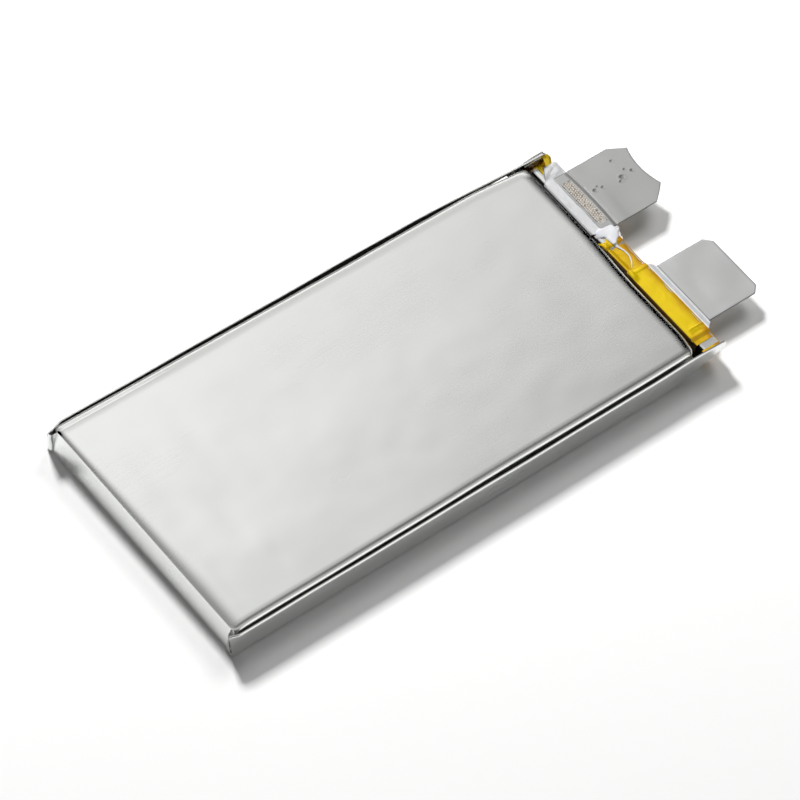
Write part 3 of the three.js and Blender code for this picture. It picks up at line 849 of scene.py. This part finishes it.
def upper_tape_sheet(x_end, y0, y1):
    path, up = resample(tape_course(x_end), 46)
    ys = spaced(y0, y1, 0.35)
    rows = []
    for (x, z), (nx, nz) in zip(path, up):
        offset = seam_top(ys) + GAP + TAPE_FILM + tape_lift(x, ys)
        at_crest = 1 - smoothstep(TAPE_CREST + 0.5, TAPE_CREST + 2.5, x)
        under_lead = 1.0 * window(8.5, 35, 2, ys) * at_crest
        hollow = 1.3 * window(36, 40.5, 1.2, ys) * window(TAPE_CREST - 0.4, TAPE_CREST + 1.2, 0.8, x)
        rows.append(row_at(x + nx * offset, ys, z + nz * offset - hollow - under_lead))
    return sheet(rows, TAPE_FILM)


def upper_tape():
    main = upper_tape_sheet(TAPE_HIGH.x, BARE_PATCH_END, TAPE_HIGH.y - 0.6)
    sliver = upper_tape_sheet(TAPE_HIGH.x - 0.2, TAPE_LOW.y + 0.2, TAPE_LOW.y + 1.9)
    return merged(main, sliver)


def lower_tape():
    """The strip under the terrace, following the S-bend of the seal."""
    path, up = resample(trimmed(seam_path(CUP_END, TAPE_HIGH.x), TAPE_LOW.x), 30)
    ys = spaced(TAPE_LOW.y + 0.8, TAPE_HIGH.y - 1.8, 0.7)
    offset = -(SEAM_HALF + 3 * GAP + TAPE_FILM)
    rows = [row_at(x, ys, z) for x, z in path + up * offset]
    return sheet(rows, TAPE_FILM, face_down=True)


def corner_wrap():
    """The tape's end, folded over the tip of the +Y seal and down onto the terrace."""
    section = [(-0.1, 1.23), (-0.3, 2.33), (-1.0, 2.63), (-2.0, 2.13), (-2.8, 1.33), (-3.6, 0.43)]
    path, _ = resample(offset_by(TAPE_HIGH.y, TAPE_HIGH.z, section), 20)
    rows = []
    for y, z in path:
        xs = np.linspace(TAPE_HIGH.x - 2, TAPE_HIGH.x + 0.8 * bell(TAPE_HIGH.y - 2.2, 1.3, y), 8)
        rows.append(row_at(xs, y, z - 0.5 * np.linspace(0, 1, 8) ** 3))
    return sheet(rows, TAPE_FILM)


LIP_SECTION = [(-0.55, -2.5), (-0.35, -0.3), (-0.05, 0.75), (0.22, 0.95), (0.45, 0.6), (0.6, -0.5)]


def film_lip():
    """The bare rim of the terrace film, which shows beside the tape along the trough."""
    between_tabs = film_lip_stretch(SEALANT_HIGH.y - 2.3, POSITIVE_SEALANT_LOW.y + 2.3)
    return merged(between_tabs, film_lip_stretch(LEAD_HIGH.y - 4.6, CUP_HALF_WIDTH))


def film_lip_stretch(y0, y1):
    rows = []
    for y in spaced(y0, y1, 0.5):
        sink = 1.2 * (1 - window(y0 + 2.5, y1 - 1.5, 2.5, y)) + 0.9 * window(33, 50, 1, y)
        lean = 0.12 * float(wobble(y, 1, 5, 1, 4.4))
        section = offset_by(TAPE_CREST - 1.9 + lean, TERRACE_RISE - sink, LIP_SECTION)
        rows.append([(x, y, z) for x, z in section])
    return sheet(rows, LEAF)


def pleated_film(shift, reach, sink):
    """One leaf of the film gathered in the pocket at the +Y end of the terrace."""
    section = [(0.3, -1.0), (0, -0.7), (-0.3, -0.9), (-0.45, -1.7), (-0.7, -3.1), (-1.0, -4.3)]
    across, height = resample(section, 14)[0].T
    rows = []
    for x in spaced(CUP_END + 0.2, TERRACE_EDGE - reach, 0.5):
        open_up = smoothstep(CUP_END, CUP_END + 5, x)
        ys = TAPE_HIGH.y - shift + across * (0.3 + 0.7 * open_up)
        rows.append(row_at(x, ys, SEAL_HEIGHT - sink - 0.2 * (1 - open_up) + height))
    return sheet(rows, LEAF)


# ---- sealant film

SEALANT_FILM_THICKNESS = 0.1


def sealant_strip(low, high, side):
    """Sealant over or under the negative tab; outside the seal its ends are trimmed at a slant."""
    path, up = resample(trimmed(seam_path(CUP_END - 2, high.x + 0.4), low.x), 40)
    ys = edge_refined(low.y, high.y, 3, 9, 1.0)
    rows = []
    for (x, z), (nx, nz) in zip(path, up):
        outside = float(smoothstep(TERRACE_EDGE, high.x + 0.4, x))
        middle = (low.y + high.y) / 2
        y = middle + (ys - middle) * (1 - 0.10 * outside ** 1.5)
        swell = 0.06 * outside * (1 + wobble(x, y, 2, 4, 5.0)) + 0.10 * bell(0.75, 0.2, outside)
        offset = side * (TAB / 2 + GAP + SEALANT_FILM_THICKNESS + swell)
        rows.append(row_at(x + nx * offset, y, z + nz * offset))
    return sheet(rows, SEALANT_FILM_THICKNESS, face_down=side < 0)


WEB_COURSE = [  # x, y, half-width: sealant squeezed out round the lead's end, drawn out to a thread
    (93.1, 12.0, 3.9), (93.05, 10.6, 4.3), (93.2, 9.4, 4.15), (93.25, 8.4, 3.4), (93.0, 7.4, 2.35),
    (92.5, 6.4, 1.5), (92.15, 5.4, 0.95), (92.05, 4.5, 0.62), (92.3, 3.3, 0.42), (92.8, 2.0, 0.33),
    (93.15, 0.6, 0.28), (93.15, -0.9, 0.24), (92.7, -2.4, 0.21), (91.8, -3.9, 0.17), (90.6, -5.3, 0.06),
]


def sealant_web():
    course = np.array(WEB_COURSE)
    count = 90
    places, _ = resample(course[:, :2], count)
    lengths = run_lengths(course[:, :2])
    widths = np.interp(np.linspace(0, lengths[-1], count), lengths, course[:, 2])
    for _ in range(2):
        places[1:-1] = (places[:-2] + 2 * places[1:-1] + places[2:]) / 4
        widths[1:-1] = (widths[:-2] + 2 * widths[1:-1] + widths[2:]) / 4
    tangents = np.gradient(places, axis=0)
    tangents /= np.linalg.norm(tangents, axis=1, keepdims=True)
    turns = np.linspace(0, 2 * math.pi, 29)[:-1]
    rings = []
    for (x, y), (tx, ty), width in zip(places, tangents, widths):
        on_tape = TERRACE_RISE + float(seam_top(y)) + 0.22 + 0.25 * float(bell(TAPE_CREST, 1.5, x))
        on_lead = LEAD_TOP - 0.12 - 0.35 * float(smoothstep(11, 12, y))
        base = on_tape + (on_lead - on_tape) * float(smoothstep(4.5, 8.0, y))
        across = width * np.cos(turns)
        rise = min(0.62 * width, 0.42) * np.sin(turns)
        sag = 0.5 * smoothstep(0.72, 1.0, np.abs(np.cos(turns))) * float(smoothstep(1.5, 3.5, width))
        px, py = x - ty * across, y + tx * across
        lumps = 0.05 * wobble(px, py, 1.6, 1.6, 2.7)
        rings.append(row_at(px, py, base + rise - sag + lumps * np.maximum(np.sin(turns), 0)))
    return tube_mesh(np.array(rings))


def tube_mesh(rings):
    """A closed skin over rings of points, with flat ends."""
    n, count = rings.shape[:2]
    faces = []
    for i in range(n - 1):
        for j in range(count):
            k = (j + 1) % count
            faces.append([i * count + j, (i + 1) * count + j, (i + 1) * count + k, i * count + k])
    faces.append(list(range(count)))
    faces.append([(n - 1) * count + j for j in reversed(range(count))])
    return rings.reshape(-1, 3), faces


# ---- positive lead

LEAD_OVERHANG = LEAD_HIGH.x + 0.505
LEAD_TOP = FOOT_LOW.z - GAP
# The folded-back flap: distance back from the fold, and how far its two ends are from the strip's in Y
FLAP_OUTLINE = [
    (0, 2.4, -0.3), (1.5, 1.4, 0.8), (3.5, 1.0, 1.2), (5.3, 1.6, 0.7), (6.5, 2.8, -1.3), (7.6, 4.0, -3.6),
    (9.5, 5.0, -5.4),
]


def lead_course():
    """The strip's outer side in X and Z: out of the seal, folded back, and down into the trough."""
    fold_x = LEAD_OVERHANG - (LEAD_TOP - TERRACE_RISE) / 2
    radius = (LEAD_TOP - TERRACE_RISE + TAB / 2) / 2
    centre = (fold_x, TERRACE_RISE - TAB / 2 + radius)
    inside, up = resample(trimmed(seam_path(LEAD_LOW.x, fold_x), LEAD_LOW.x), 60)
    course = [tuple(p) for p in inside - up * (TAB / 2)]
    course += arc(centre, radius, -math.pi / 2, math.pi / 2, 14)[1:]
    course += offset_by(TAPE_CREST, LEAD_TOP, [(3.1, 0.02), (1.9, -0.02)])
    course += arc((TAPE_CREST + 0.5, LEAD_TOP - 1.6), 1.58, math.radians(86), math.radians(160), 10)
    course += offset_by(TAPE_CREST, TERRACE_RISE, [(-0.95, -0.8), (-0.6, -1.6), (-0.2, -2.3)])
    return resample(course, 130)[0]


def positive_lead():
    path = lead_course()
    lengths = run_lengths(path)
    top_start = lengths[np.argmax(path[:, 0])]
    shares = edge_refined(0, 1, 0.12, 14, 0.03)
    distances, low_ends, high_ends = np.transpose(FLAP_OUTLINE)
    rows = []
    for (x, z), run in zip(path, lengths):
        back = max(run - top_start, 0)
        blend = float(smoothstep(-1.5, 0, run - top_start))
        low = LEAD_LOW.y + np.interp(back, distances, low_ends) * blend
        high = LEAD_HIGH.y + np.interp(back, distances, high_ends) * blend
        ys = low + (high - low) * shares
        from_end = LEAD_HIGH.y - ys
        on_top = float(smoothstep(0, 2, back))
        puff = 0.35 * window(0.8, 3.2, 1.8, from_end) * on_top
        folds = 0.10 * np.sin((ys + 0.5 * back) * 2.2) * window(1.5, 4.6, 1.2, from_end)
        folds = folds * float(window(3.5, 7, 2, back))
        rounded = 0.75 * (1 - np.sqrt(1 - 0.98 * (1 - np.clip((high - ys) / 1.4, 0, 1)) ** 2)) * on_top
        crumple = 0.08 * wobble(x, ys, 3.5, 4, 8.8) * float(smoothstep(3.5, 6, back))
        rows.append(row_at(x, ys, z + puff + folds + crumple - rounded))
    return sheet(rows, TAB, face_down=True)


# ---- positive tab strip

KNURL = {
    "x0": FOOT_LOW.x + 0.65, "x1": FOOT_HIGH.x - 1.65, "y0": FOOT_LOW.y + 3.5, "y1": FOOT_HIGH.y - 3.3,
    "pitch": 0.84, "height": 0.26,
}
CREASE_X = HINGES["positive_tab"].x - 0.4
PITS = [  # x, y, radius
    (100.0, 24.1, 0.55), (102.8, 23.7, 0.45), (101.5, 24.9, 0.3), (111.5, 30.2, 0.4),
    (110.3, 23.4, 0.75), (108.9, 22.3, 0.4), (114.5, 23.8, 0.45), (112.8, 25.4, 0.35),
]
BURR = 0.16  # width of the rolled-over edge left by the shears
BURR_ROLL = 0.05
THINNEST_TAB = 0.12
BLADE_FLAT = TERRACE_EDGE + 4.5  # beyond this the blade's rows follow the shape of its end


def knurl_height(x, y):
    """Rows of small pyramids with uneven heights, pressed by the welding horn."""
    column = (x - KNURL["x0"]) / KNURL["pitch"]
    row = (y - KNURL["y0"]) / KNURL["pitch"] + 0.5 * (np.floor(column) % 2)
    to_middle = np.hypot(column % 1 - 0.5, row % 1 - 0.5) * 2
    uneven = 0.75 + 0.5 * wobble(np.floor(column) * 7.3, np.floor(row) * 3.9, 2.1, 1.7, 6.0)
    ragged = 0.03 * wobble(x, y, 0.5, 0.5, 3.0)
    inside = window(KNURL["x0"], KNURL["x1"], 0.12, x) * window(KNURL["y0"], KNURL["y1"], 0.12, y)
    return inside * (KNURL["height"] * uneven * smoothstep(1.1, 0.1, to_middle) + ragged - 0.08)


def crease_line(y):
    return CREASE_X + 0.55 * np.sin(np.pi * np.clip((y - 9) / 26, 0, 1))


def crease_height(x, y):
    """The foot dips to a crease that bows towards the tip, then steps up to the blade."""
    line = crease_line(y)
    dip = smoothstep(line - 1.7, line, x) * (1 - smoothstep(line, line + 0.45, x))
    return -0.22 * dip


def pit_depth(x, y):
    """Small dents with a raised rim."""
    depth = np.zeros_like(x)
    for px, py, radius in PITS:
        r = np.hypot(x - px, y - py) / radius
        depth = depth - 0.10 * np.exp(-(r ** 2)) + 0.03 * np.exp(-((r - 1.5) / 0.5) ** 2)
    return depth


# A blade's sides and tip, the run and rise of its two cut corners, and how deep its end is hollowed
Blade = namedtuple("Blade", "low high tip cut_low cut_high hollow")
POSITIVE_BLADE = Blade(
    POSITIVE_BLADE_LOW.y, POSITIVE_BLADE_HIGH.y, POSITIVE_BLADE_HIGH.x, (5.8, 5.2), (5.8, 3.2), 1.5)
NEGATIVE_BLADE = Blade(
    NEGATIVE_BLADE_LOW.y, NEGATIVE_BLADE_HIGH.y, NEGATIVE_BLADE_HIGH.x, (2.4, 2.5), (2.4, 2.5), 0.0)


def blade_tip(y, blade):
    """X of the blade's end at each y: cut corners, with the middle hollowed towards the root."""
    run_low, rise_low = blade.cut_low
    run_high, rise_high = blade.cut_high
    middle_low, middle_high = blade.low + rise_low, blade.high - rise_high
    share = np.clip((y - middle_low) / (middle_high - middle_low), 0, 1)
    end = blade.tip - blade.hollow * 4 * share * (1 - share)
    end = end - run_low * np.clip((middle_low - y) / rise_low, 0, 1) ** 1.12
    return end - run_high * np.clip((y - middle_high) / rise_high, 0, 1)


def blade_ys(ys, blade):
    """Moves the nearest rows to the cut corners, and adds one just inside each side for the burr."""
    for knee in (blade.low + blade.cut_low[1], blade.high - blade.cut_high[1]):
        ys[np.argmin(np.abs(ys - knee))] = knee
    return np.concatenate([[ys[0], ys[0] + BURR], ys[1:-1], [ys[-1] - BURR, ys[-1]]])


def blade_rows(end, steps):
    """X of rows from BLADE_FLAT to the blade's end, the last one a burr's width from the one before."""
    shares = np.linspace(0, 1, steps)[1:]
    return [BLADE_FLAT + (end - BURR - BLADE_FLAT) * share for share in shares] + [end]


def edge_roll(points):
    """How far the outermost ring of a blade's rows is rolled down."""
    roll = np.zeros(points.shape[:2])
    roll[-1, :] = roll[:, 0] = roll[:, -1] = BURR_ROLL
    return roll


def positive_tab():
    blade = POSITIVE_BLADE
    start = FOOT_LOW.x
    ys = blade_ys(np.concatenate([
        spaced(blade.low, KNURL["y0"] - 0.2, 0.4)[:-1],
        spaced(KNURL["y0"] - 0.2, KNURL["y1"] + 0.2, 0.13)[:-1],
        spaced(KNURL["y1"] + 0.2, blade.high, 0.4),
    ]), blade)
    fixed_x = np.concatenate([
        [start, start + BURR],
        spaced(start + 2 * BURR, KNURL["x1"] + 0.2, 0.13)[:-1],
        spaced(KNURL["x1"] + 0.2, BLADE_FLAT, 0.15),
    ])
    points = np.array([row_at(x, ys, 0.0) for x in [*fixed_x, *blade_rows(blade_tip(ys, blade), 60)]])
    x, y = points[..., 0], points[..., 1]
    sag = 0.10 * wobble(x, y, 14, 16, 1.9) * smoothstep(BLADE_FLAT, BLADE_FLAT + 4.5, x)
    relief = knurl_height(x, y) + crease_height(x, y) + pit_depth(x, y)
    roll = edge_roll(points)
    roll[0, :] = BURR_ROLL
    points[..., 2] = FOOT_RISE + TAB / 2 + relief + sag - roll
    on_foot = x < KNURL["x1"] + 0.3
    depth = TAB + np.where(on_foot, relief, 0) - roll
    return sheet(points, np.maximum(depth, THINNEST_TAB))


# ---- negative tab strip

STEP_END = TERRACE_EDGE + 1.5  # where the negative tab is level again after the terrace


def negative_tab():
    blade = NEGATIVE_BLADE
    ys = blade_ys(spaced(blade.low, blade.high, 0.5), blade)
    path, up = resample(seam_path(NEGATIVE_LEAD_LOW.x, STEP_END), 60)
    rows = [row_at(x, ys, z) for x, z in path + up * (TAB / 2)]
    level = TERRACE_RISE + TAB / 2
    rows += [row_at(x, ys, level) for x in np.linspace(STEP_END, BLADE_FLAT, 16)[1:]]
    for x in blade_rows(blade_tip(ys, blade), 50):
        sag = 0.12 * wobble(x, ys, 13, 15, 5.9) * smoothstep(BLADE_FLAT, BLADE_FLAT + 4.5, x)
        rows.append(row_at(x, ys, level + sag))
    points = np.array(rows)
    points[..., 2] -= edge_roll(points) * smoothstep(TERRACE_EDGE, SEALANT_HIGH.x, points[..., 0])
    return sheet(points, TAB)


# ---- assembly

LAMINATE = laminate_material("laminate", 1)
LAMINATE_DRAWN = laminate_material("laminate_drawn_smooth", 0.15)
TAPE = tape_material("amber_tape", (0.86, 0.62, 0.0), (0.58, 0.28, 0.0))
# Painted shade: a near-black copy of the amber tape, for tape and film in the trough, under the lead and in the
# hollows.
TAPE_PAINTED_SHADE = tape_material("amber_tape_painted_shade", (0.10, 0.045, 0.004), (0.05, 0.02, 0.002))
TAPE_WRAP = tape_material("amber_tape_wrap", (0.86, 0.62, 0.0), (0.82, 0.55, 0.0))
ALUMINIUM = soft_aluminium_material()
NICKEL_POSITIVE = nickel_material("nickel_positive", (0.73, 0.73, 0.715), marks=PITS)
# The negative blade's root line is a painted shadow of the sealant's edge.
NICKEL_NEGATIVE = nickel_material("nickel_negative", (1.0, 1.0, 0.99), root=NEGATIVE_BLADE_LOW.x + 0.25)
SHEARED_EDGE = sheared_edge_material()
# Painted highlight along the positive tab's crease.
CREASE_HIGHLIGHT = crease_highlight_material()
WELD = weld_material()
SEALANT = sealant_material("sealant", 0.72)
SEALANT_FILM = sealant_material("sealant_film", 0.50)
# Painted shade: a near-black laminate for the trough's walls and the lip's side that faces the cup.
FILM_PAINTED_SHADE = painted_shade_film_material()


def bend_tab(piece):
    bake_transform(piece)


def mark_faces(piece, material, wanted):
    """Gives the faces that wanted(centre in mm, normal) picks a second material."""
    piece.data.materials.append(material)
    index = len(piece.data.materials) - 1
    for face in piece.data.polygons:
        if wanted(face.center / MM, face.normal):
            face.material_index = index


def is_knurled(place, normal):
    inside = KNURL["x0"] < place.x < KNURL["x1"] and KNURL["y0"] < place.y < KNURL["y1"]
    return inside and normal.z > 0.05


def is_tape_in_painted_shade(place, normal):
    # Picks the tape's faces that get painted shade: the trough's wall, under the lead, and the hollow past y = 35.
    on_wall = place.x < TAPE_CREST - 0.4 and normal.x < -0.6
    under_lead = place.x < TAPE_CREST + 1.5 and 8.5 < place.y < 35
    return on_wall or under_lead or place.x < TAPE_CREST + 0.9 and place.y > 35


def is_shaded_leaf(place, normal):
    # Faces of a leaf that get painted shade in the pocket's hollow.
    return normal.z < 0.85


def is_back_of_trough(place, normal):
    return abs(place.y) < CUP_HALF_WIDTH + 0.5 and place.z > 1.2 and is_trough_wall(place, normal)


def faces_cup(place, normal):
    return normal.x < -0.3


def is_drawn_smooth(place, normal):
    """The slope that goes down to the tab end, where the film is stretched over the cup's edge."""
    return place.x > CUP_END - 8 and normal.x > 0.06


def is_trough_wall(place, normal):
    """Both walls of the trough between the cup and the terrace, and its bottom."""
    on_cup = place.x > CUP_END - 1.1 and normal.x > 0.05
    faces_in = normal.x < -0.2 or normal.z > 0.2
    return on_cup or faces_in and CUP_END - 0.6 < place.x < TAPE_CREST + 0.3 and 0.3 < place.z < 8.7


def is_sealant_rim(place, normal):
    """The thick rims of the film: where it leaves the tape, and its outer edge."""
    return not TERRACE_EDGE + 0.9 < place.x < SEALANT_HIGH.x - 0.1 or place.y > SEALANT_HIGH.y - 0.4


def is_on_crease(place, normal):
    past = place.x - float(crease_line(place.y))
    return 0 < past < 0.3 and 10 < place.y < 27 and normal.z > 0.5


def is_sheared(blade, start):
    """Picks a blade's cut faces and the rolled-over rim next to them, from start on."""
    def wanted(place, normal):
        if place.x < start:
            return False
        near_side = min(place.y - blade.low, blade.high - place.y) < 0.9 * BURR
        near_tip = place.x > float(blade_tip(place.y, blade)) - 0.9 * BURR
        return near_side or near_tip or abs(normal.z) < 0.5
    return wanted


def build_pouch():
    front = add_piece("front_film", front_film(), LAMINATE)
    mark_faces(front, LAMINATE_DRAWN, is_drawn_smooth)
    # The trough's walls get painted shade.
    mark_faces(front, FILM_PAINTED_SHADE, is_trough_wall)
    back = add_piece("back_film", back_film(), LAMINATE)
    # The back film's part of the trough gets painted shade.
    mark_faces(back, FILM_PAINTED_SHADE, is_back_of_trough)
    left = add_piece("fold_ear_left", fold_ear(1), LAMINATE)
    right = add_piece("fold_ear_right", fold_ear(-1), LAMINATE)
    for piece in (front, back, left, right):
        stand_for(piece, ["pouch_film"])


def build_terrace():
    upper = add_piece("terrace_tape_upper", upper_tape(), TAPE)
    # The tape in the trough, under the lead and in the hollow gets painted shade.
    mark_faces(upper, TAPE_PAINTED_SHADE, is_tape_in_painted_shade)
    stand_for(upper, ["terrace_tape_top"])
    lower = add_piece("terrace_tape_lower", lower_tape(), TAPE)
    stand_for(lower, ["terrace_tape_bottom"])
    on_cell(add_piece("tape_corner_wrap", corner_wrap(), TAPE_WRAP))
    lip = add_piece("terrace_film_lip", film_lip(), LAMINATE)
    # The lip's side that faces the cup gets painted shade.
    mark_faces(lip, FILM_PAINTED_SHADE, faces_cup)
    on_cell(lip)
    for name, leaf in (("outer", pleated_film(0, 0.4, 0)), ("inner", pleated_film(0.9, 1.5, 0.9))):
        piece = add_piece(f"pleated_film_{name}", leaf, LAMINATE)
        # The leaves' faces that tilt away from straight up get painted shade.
        mark_faces(piece, TAPE_PAINTED_SHADE, is_shaded_leaf)
        on_cell(piece)


def build_sealant():
    on_cell(add_piece("sealant_web", sealant_web(), SEALANT))
    for side, place in ((1, "upper"), (-1, "lower")):
        strip = sealant_strip(SEALANT_LOW, SEALANT_HIGH, side)
        piece = add_piece(f"negative_sealant_film_{place}", strip, SEALANT_FILM)
        mark_faces(piece, SEALANT, is_sealant_rim)
        stand_for(piece, [f"negative_sealant_{place}"])


def build_tabs():
    lead = add_piece("positive_lead_strip", positive_lead(), ALUMINIUM)
    stand_for(lead, ["positive_lead"])
    positive = add_piece("positive_tab_strip", positive_tab(), NICKEL_POSITIVE)
    mark_faces(positive, SHEARED_EDGE, is_sheared(POSITIVE_BLADE, 0))
    mark_faces(positive, WELD, is_knurled)
    # The crease gets a painted highlight.
    mark_faces(positive, CREASE_HIGHLIGHT, is_on_crease)
    stand_for(positive, ["positive_tab_foot", "positive_tab_blade"], body=None)
    bend_tab(positive)
    negative = add_piece("negative_tab_strip", negative_tab(), NICKEL_NEGATIVE)
    mark_faces(negative, SHEARED_EDGE, is_sheared(NEGATIVE_BLADE, TERRACE_EDGE))
    stand_for(negative, ["negative_lead", "negative_tab_blade"], body=None)
    bend_tab(negative)


def finish_cad_nodes():
    """Materials for the nodes that stay as the frame made them."""
    by_slot = {
        "polyimide_tape": TAPE,
        "sealant": SEALANT,
        "separator": powder_material("separator_film", (0.86, 0.86, 0.84), (0.95, 0.95, 0.93), 0.6),
        "anode_coating": powder_material("anode_sheet", (0.03, 0.03, 0.032), (0.09, 0.09, 0.09), 0.8),
        "cathode_coating": powder_material("cathode_sheet", (0.02, 0.02, 0.024), (0.06, 0.06, 0.07), 0.85),
        "stack_tape": powder_material("stack_tape", (0.05, 0.30, 0.14), (0.08, 0.38, 0.19), 0.35),
    }
    for subpart in frame["record"]["subparts"]:
        node = frame["nodes"][subpart["node"]]
        finish = by_slot.get(subpart["material_slot"])
        if finish:
            node.data.materials.clear()
            node.data.materials.append(finish)


# ---- studio

CAMERA_AZIMUTH = -45.516
CAMERA_ELEVATION = 53.455
CAMERA_ROLL = 8.96
CAMERA_DISTANCE = 1.8648
CAMERA_LENS = 279.03
CAMERA_OFFSET = (0.00385, 0.00153)  # sideways and up in the picture's plane


def add_camera():
    a, e, roll = (math.radians(v) for v in (CAMERA_AZIMUTH, CAMERA_ELEVATION, CAMERA_ROLL))
    back = Vector((math.sin(a) * math.cos(e), -math.cos(a) * math.cos(e), math.sin(e)))
    right = (-back).cross(Vector((0, 0, 1))).normalized()
    up = right.cross(-back)
    level_right, level_up = right.copy(), up.copy()
    right = level_right * math.cos(roll) + level_up * math.sin(roll)
    up = level_up * math.cos(roll) - level_right * math.sin(roll)
    camera = bpy.data.objects.new("camera", bpy.data.cameras.new("camera"))
    place = back * CAMERA_DISTANCE + right * CAMERA_OFFSET[0] + up * CAMERA_OFFSET[1]
    camera.matrix_world = Matrix.Translation(place) @ Matrix((right, up, back)).transposed().to_4x4()
    camera.data.lens = CAMERA_LENS
    camera.data.clip_start = 0.01
    camera.data.clip_end = 50
    bpy.context.scene.collection.objects.link(camera)
    bpy.context.scene.camera = camera


FLOOR_HALF = 3


def add_floor():
    bm = bmesh.new()
    bmesh.ops.create_grid(bm, x_segments=1, y_segments=1, size=FLOOR_HALF)
    data = bpy.data.meshes.new("floor")
    bm.to_mesh(data)
    bm.free()
    data.materials.append(floor_material())
    floor = bpy.data.objects.new("floor", data)
    bpy.context.scene.collection.objects.link(floor)


def add_softbox(name, place, aim, size, power):
    """A rectangular lamp at place, turned to face aim; it shows in no picture itself."""
    light = bpy.data.lights.new(name, "AREA")
    light.shape = "RECTANGLE"
    light.size, light.size_y = size
    light.energy = power
    lamp = bpy.data.objects.new(name, light)
    lamp.location = place
    lamp.rotation_mode = "QUATERNION"
    lamp.rotation_quaternion = (Vector(place) - Vector(aim)).to_track_quat("Z", "Y")
    lamp.visible_camera = False
    bpy.context.scene.collection.objects.link(lamp)
    return lamp


CEILING_HEIGHT = 0.7
CEILING_SIZE = 2.4
CEILING_CENTRE = (0.367, 0.360, 0.875)  # x, y and brightness where the middle of the front face is mirrored
CEILING_SLOPE = (-1.33, 3.5)  # change of brightness per metre along x and y
CEILING_SEAM = ((0.43, 0.58), (1.05, 0.80))  # a dimmer strip: it sets in, then ends, between these y
CEILING_SEAM_DEPTH = 0.98
CEILING_FADE = (-0.30, 0.24)  # towards -X the ceiling goes dark between these
CEILING_RANGE = (0.10, 1.5)
CEILING_FRONT = (0.10, 0.35)  # towards -Y the ceiling gets brighter between these
CEILING_FRONT_GAIN = 0.35


def add_ceiling():
    """A broad diffuser over the cell, seen in the metal only, brighter towards +Y and dark past -X."""
    middle_x, middle_y, brightness = CEILING_CENTRE
    place = (middle_x, middle_y, CEILING_HEIGHT)
    energy = math.pi * (CEILING_SIZE * CEILING_SIZE)
    lamp = add_softbox("ceiling", place, (middle_x, middle_y, 0), (CEILING_SIZE, CEILING_SIZE), energy)
    lamp.visible_diffuse = False
    lamp.data.use_nodes = True
    nodes = Nodes(lamp.data.node_tree)
    position = nodes.node("ShaderNodeNewGeometry").outputs["Position"]
    slope = nodes.along(position, (*CEILING_SLOPE, 0))
    at_middle = middle_x * CEILING_SLOPE[0] + middle_y * CEILING_SLOPE[1]
    level = nodes.math("ADD", slope, brightness - at_middle)
    level = nodes.math("MULTIPLY", level, nodes.rise(nodes.along(position, (1, 0, 0)), *CEILING_FADE))
    level = nodes.math("MINIMUM", nodes.math("MAXIMUM", level, CEILING_RANGE[0]), CEILING_RANGE[1])
    across = nodes.along(position, (0, 1, 0))
    sets_in, ends = (nodes.rise(across, *edge) for edge in CEILING_SEAM)
    seam = nodes.math("MULTIPLY", sets_in, ends)
    level = nodes.math("MULTIPLY_ADD", seam, -CEILING_SEAM_DEPTH, level)
    front = nodes.rise(nodes.along(position, (0, -1, 0)), *CEILING_FRONT)
    level = nodes.math("MULTIPLY_ADD", front, CEILING_FRONT_GAIN, level)
    nodes.put(lamp.data.node_tree.nodes["Emission"].inputs["Strength"], level)


AMBIENT = 0.10
WALLS = 0.05
BACKDROP = 0.98
# The pale cards: where each one is, how near a ray has to point to it at its soft edge, and its strength
CARDS = [((0.42, -0.82, 0.30), (0.91, 0.96), 1.1), ((-0.85, 0.25, 0.45), (0.55, 0.9), 0.5)]


def add_world():
    """A pale room: even light on matt things, and dim walls with a card in front and behind, for metal."""
    world = bpy.data.worlds.new("studio")
    world.use_nodes = True
    bpy.context.scene.world = world
    nodes = Nodes(world.node_tree)
    direction = nodes.node("ShaderNodeTexCoord").outputs["Generated"]
    path = nodes.node("ShaderNodeLightPath").outputs
    walls = WALLS
    for towards, edge, brightness in CARDS:
        card = nodes.rise(nodes.along(direction, Vector(towards).normalized()), *edge)
        walls = nodes.math("MULTIPLY_ADD", card, brightness, walls)
    strength = nodes.math("MULTIPLY", path["Is Glossy Ray"], walls)
    strength = nodes.math("MULTIPLY_ADD", path["Is Diffuse Ray"], AMBIENT, strength)
    strength = nodes.math("MULTIPLY_ADD", path["Is Camera Ray"], BACKDROP, strength)
    background = world.node_tree.nodes["Background"]
    background.inputs["Color"].default_value = (1, 1, 1, 1)
    nodes.put(background.inputs["Strength"], strength)


# The two lamps: name, place, size and power
LAMPS = [
    ("key_softbox", (0.20, 1.2, 1.2), (0.32, 0.32), 35),
    ("fill_softbox", (1.0, 0.5, 1.25), (0.8, 0.5), 10),
]


def build_studio():
    bpy.context.scene.view_settings.view_transform = "Standard"
    add_camera()
    add_floor()
    add_world()
    add_ceiling()
    for name, place, size, power in LAMPS:
        add_softbox(name, place, (0, 0, 0), size, power).visible_glossy = False


build_pouch()
build_terrace()
build_sealant()
build_tabs()
finish_cad_nodes()
build_studio()
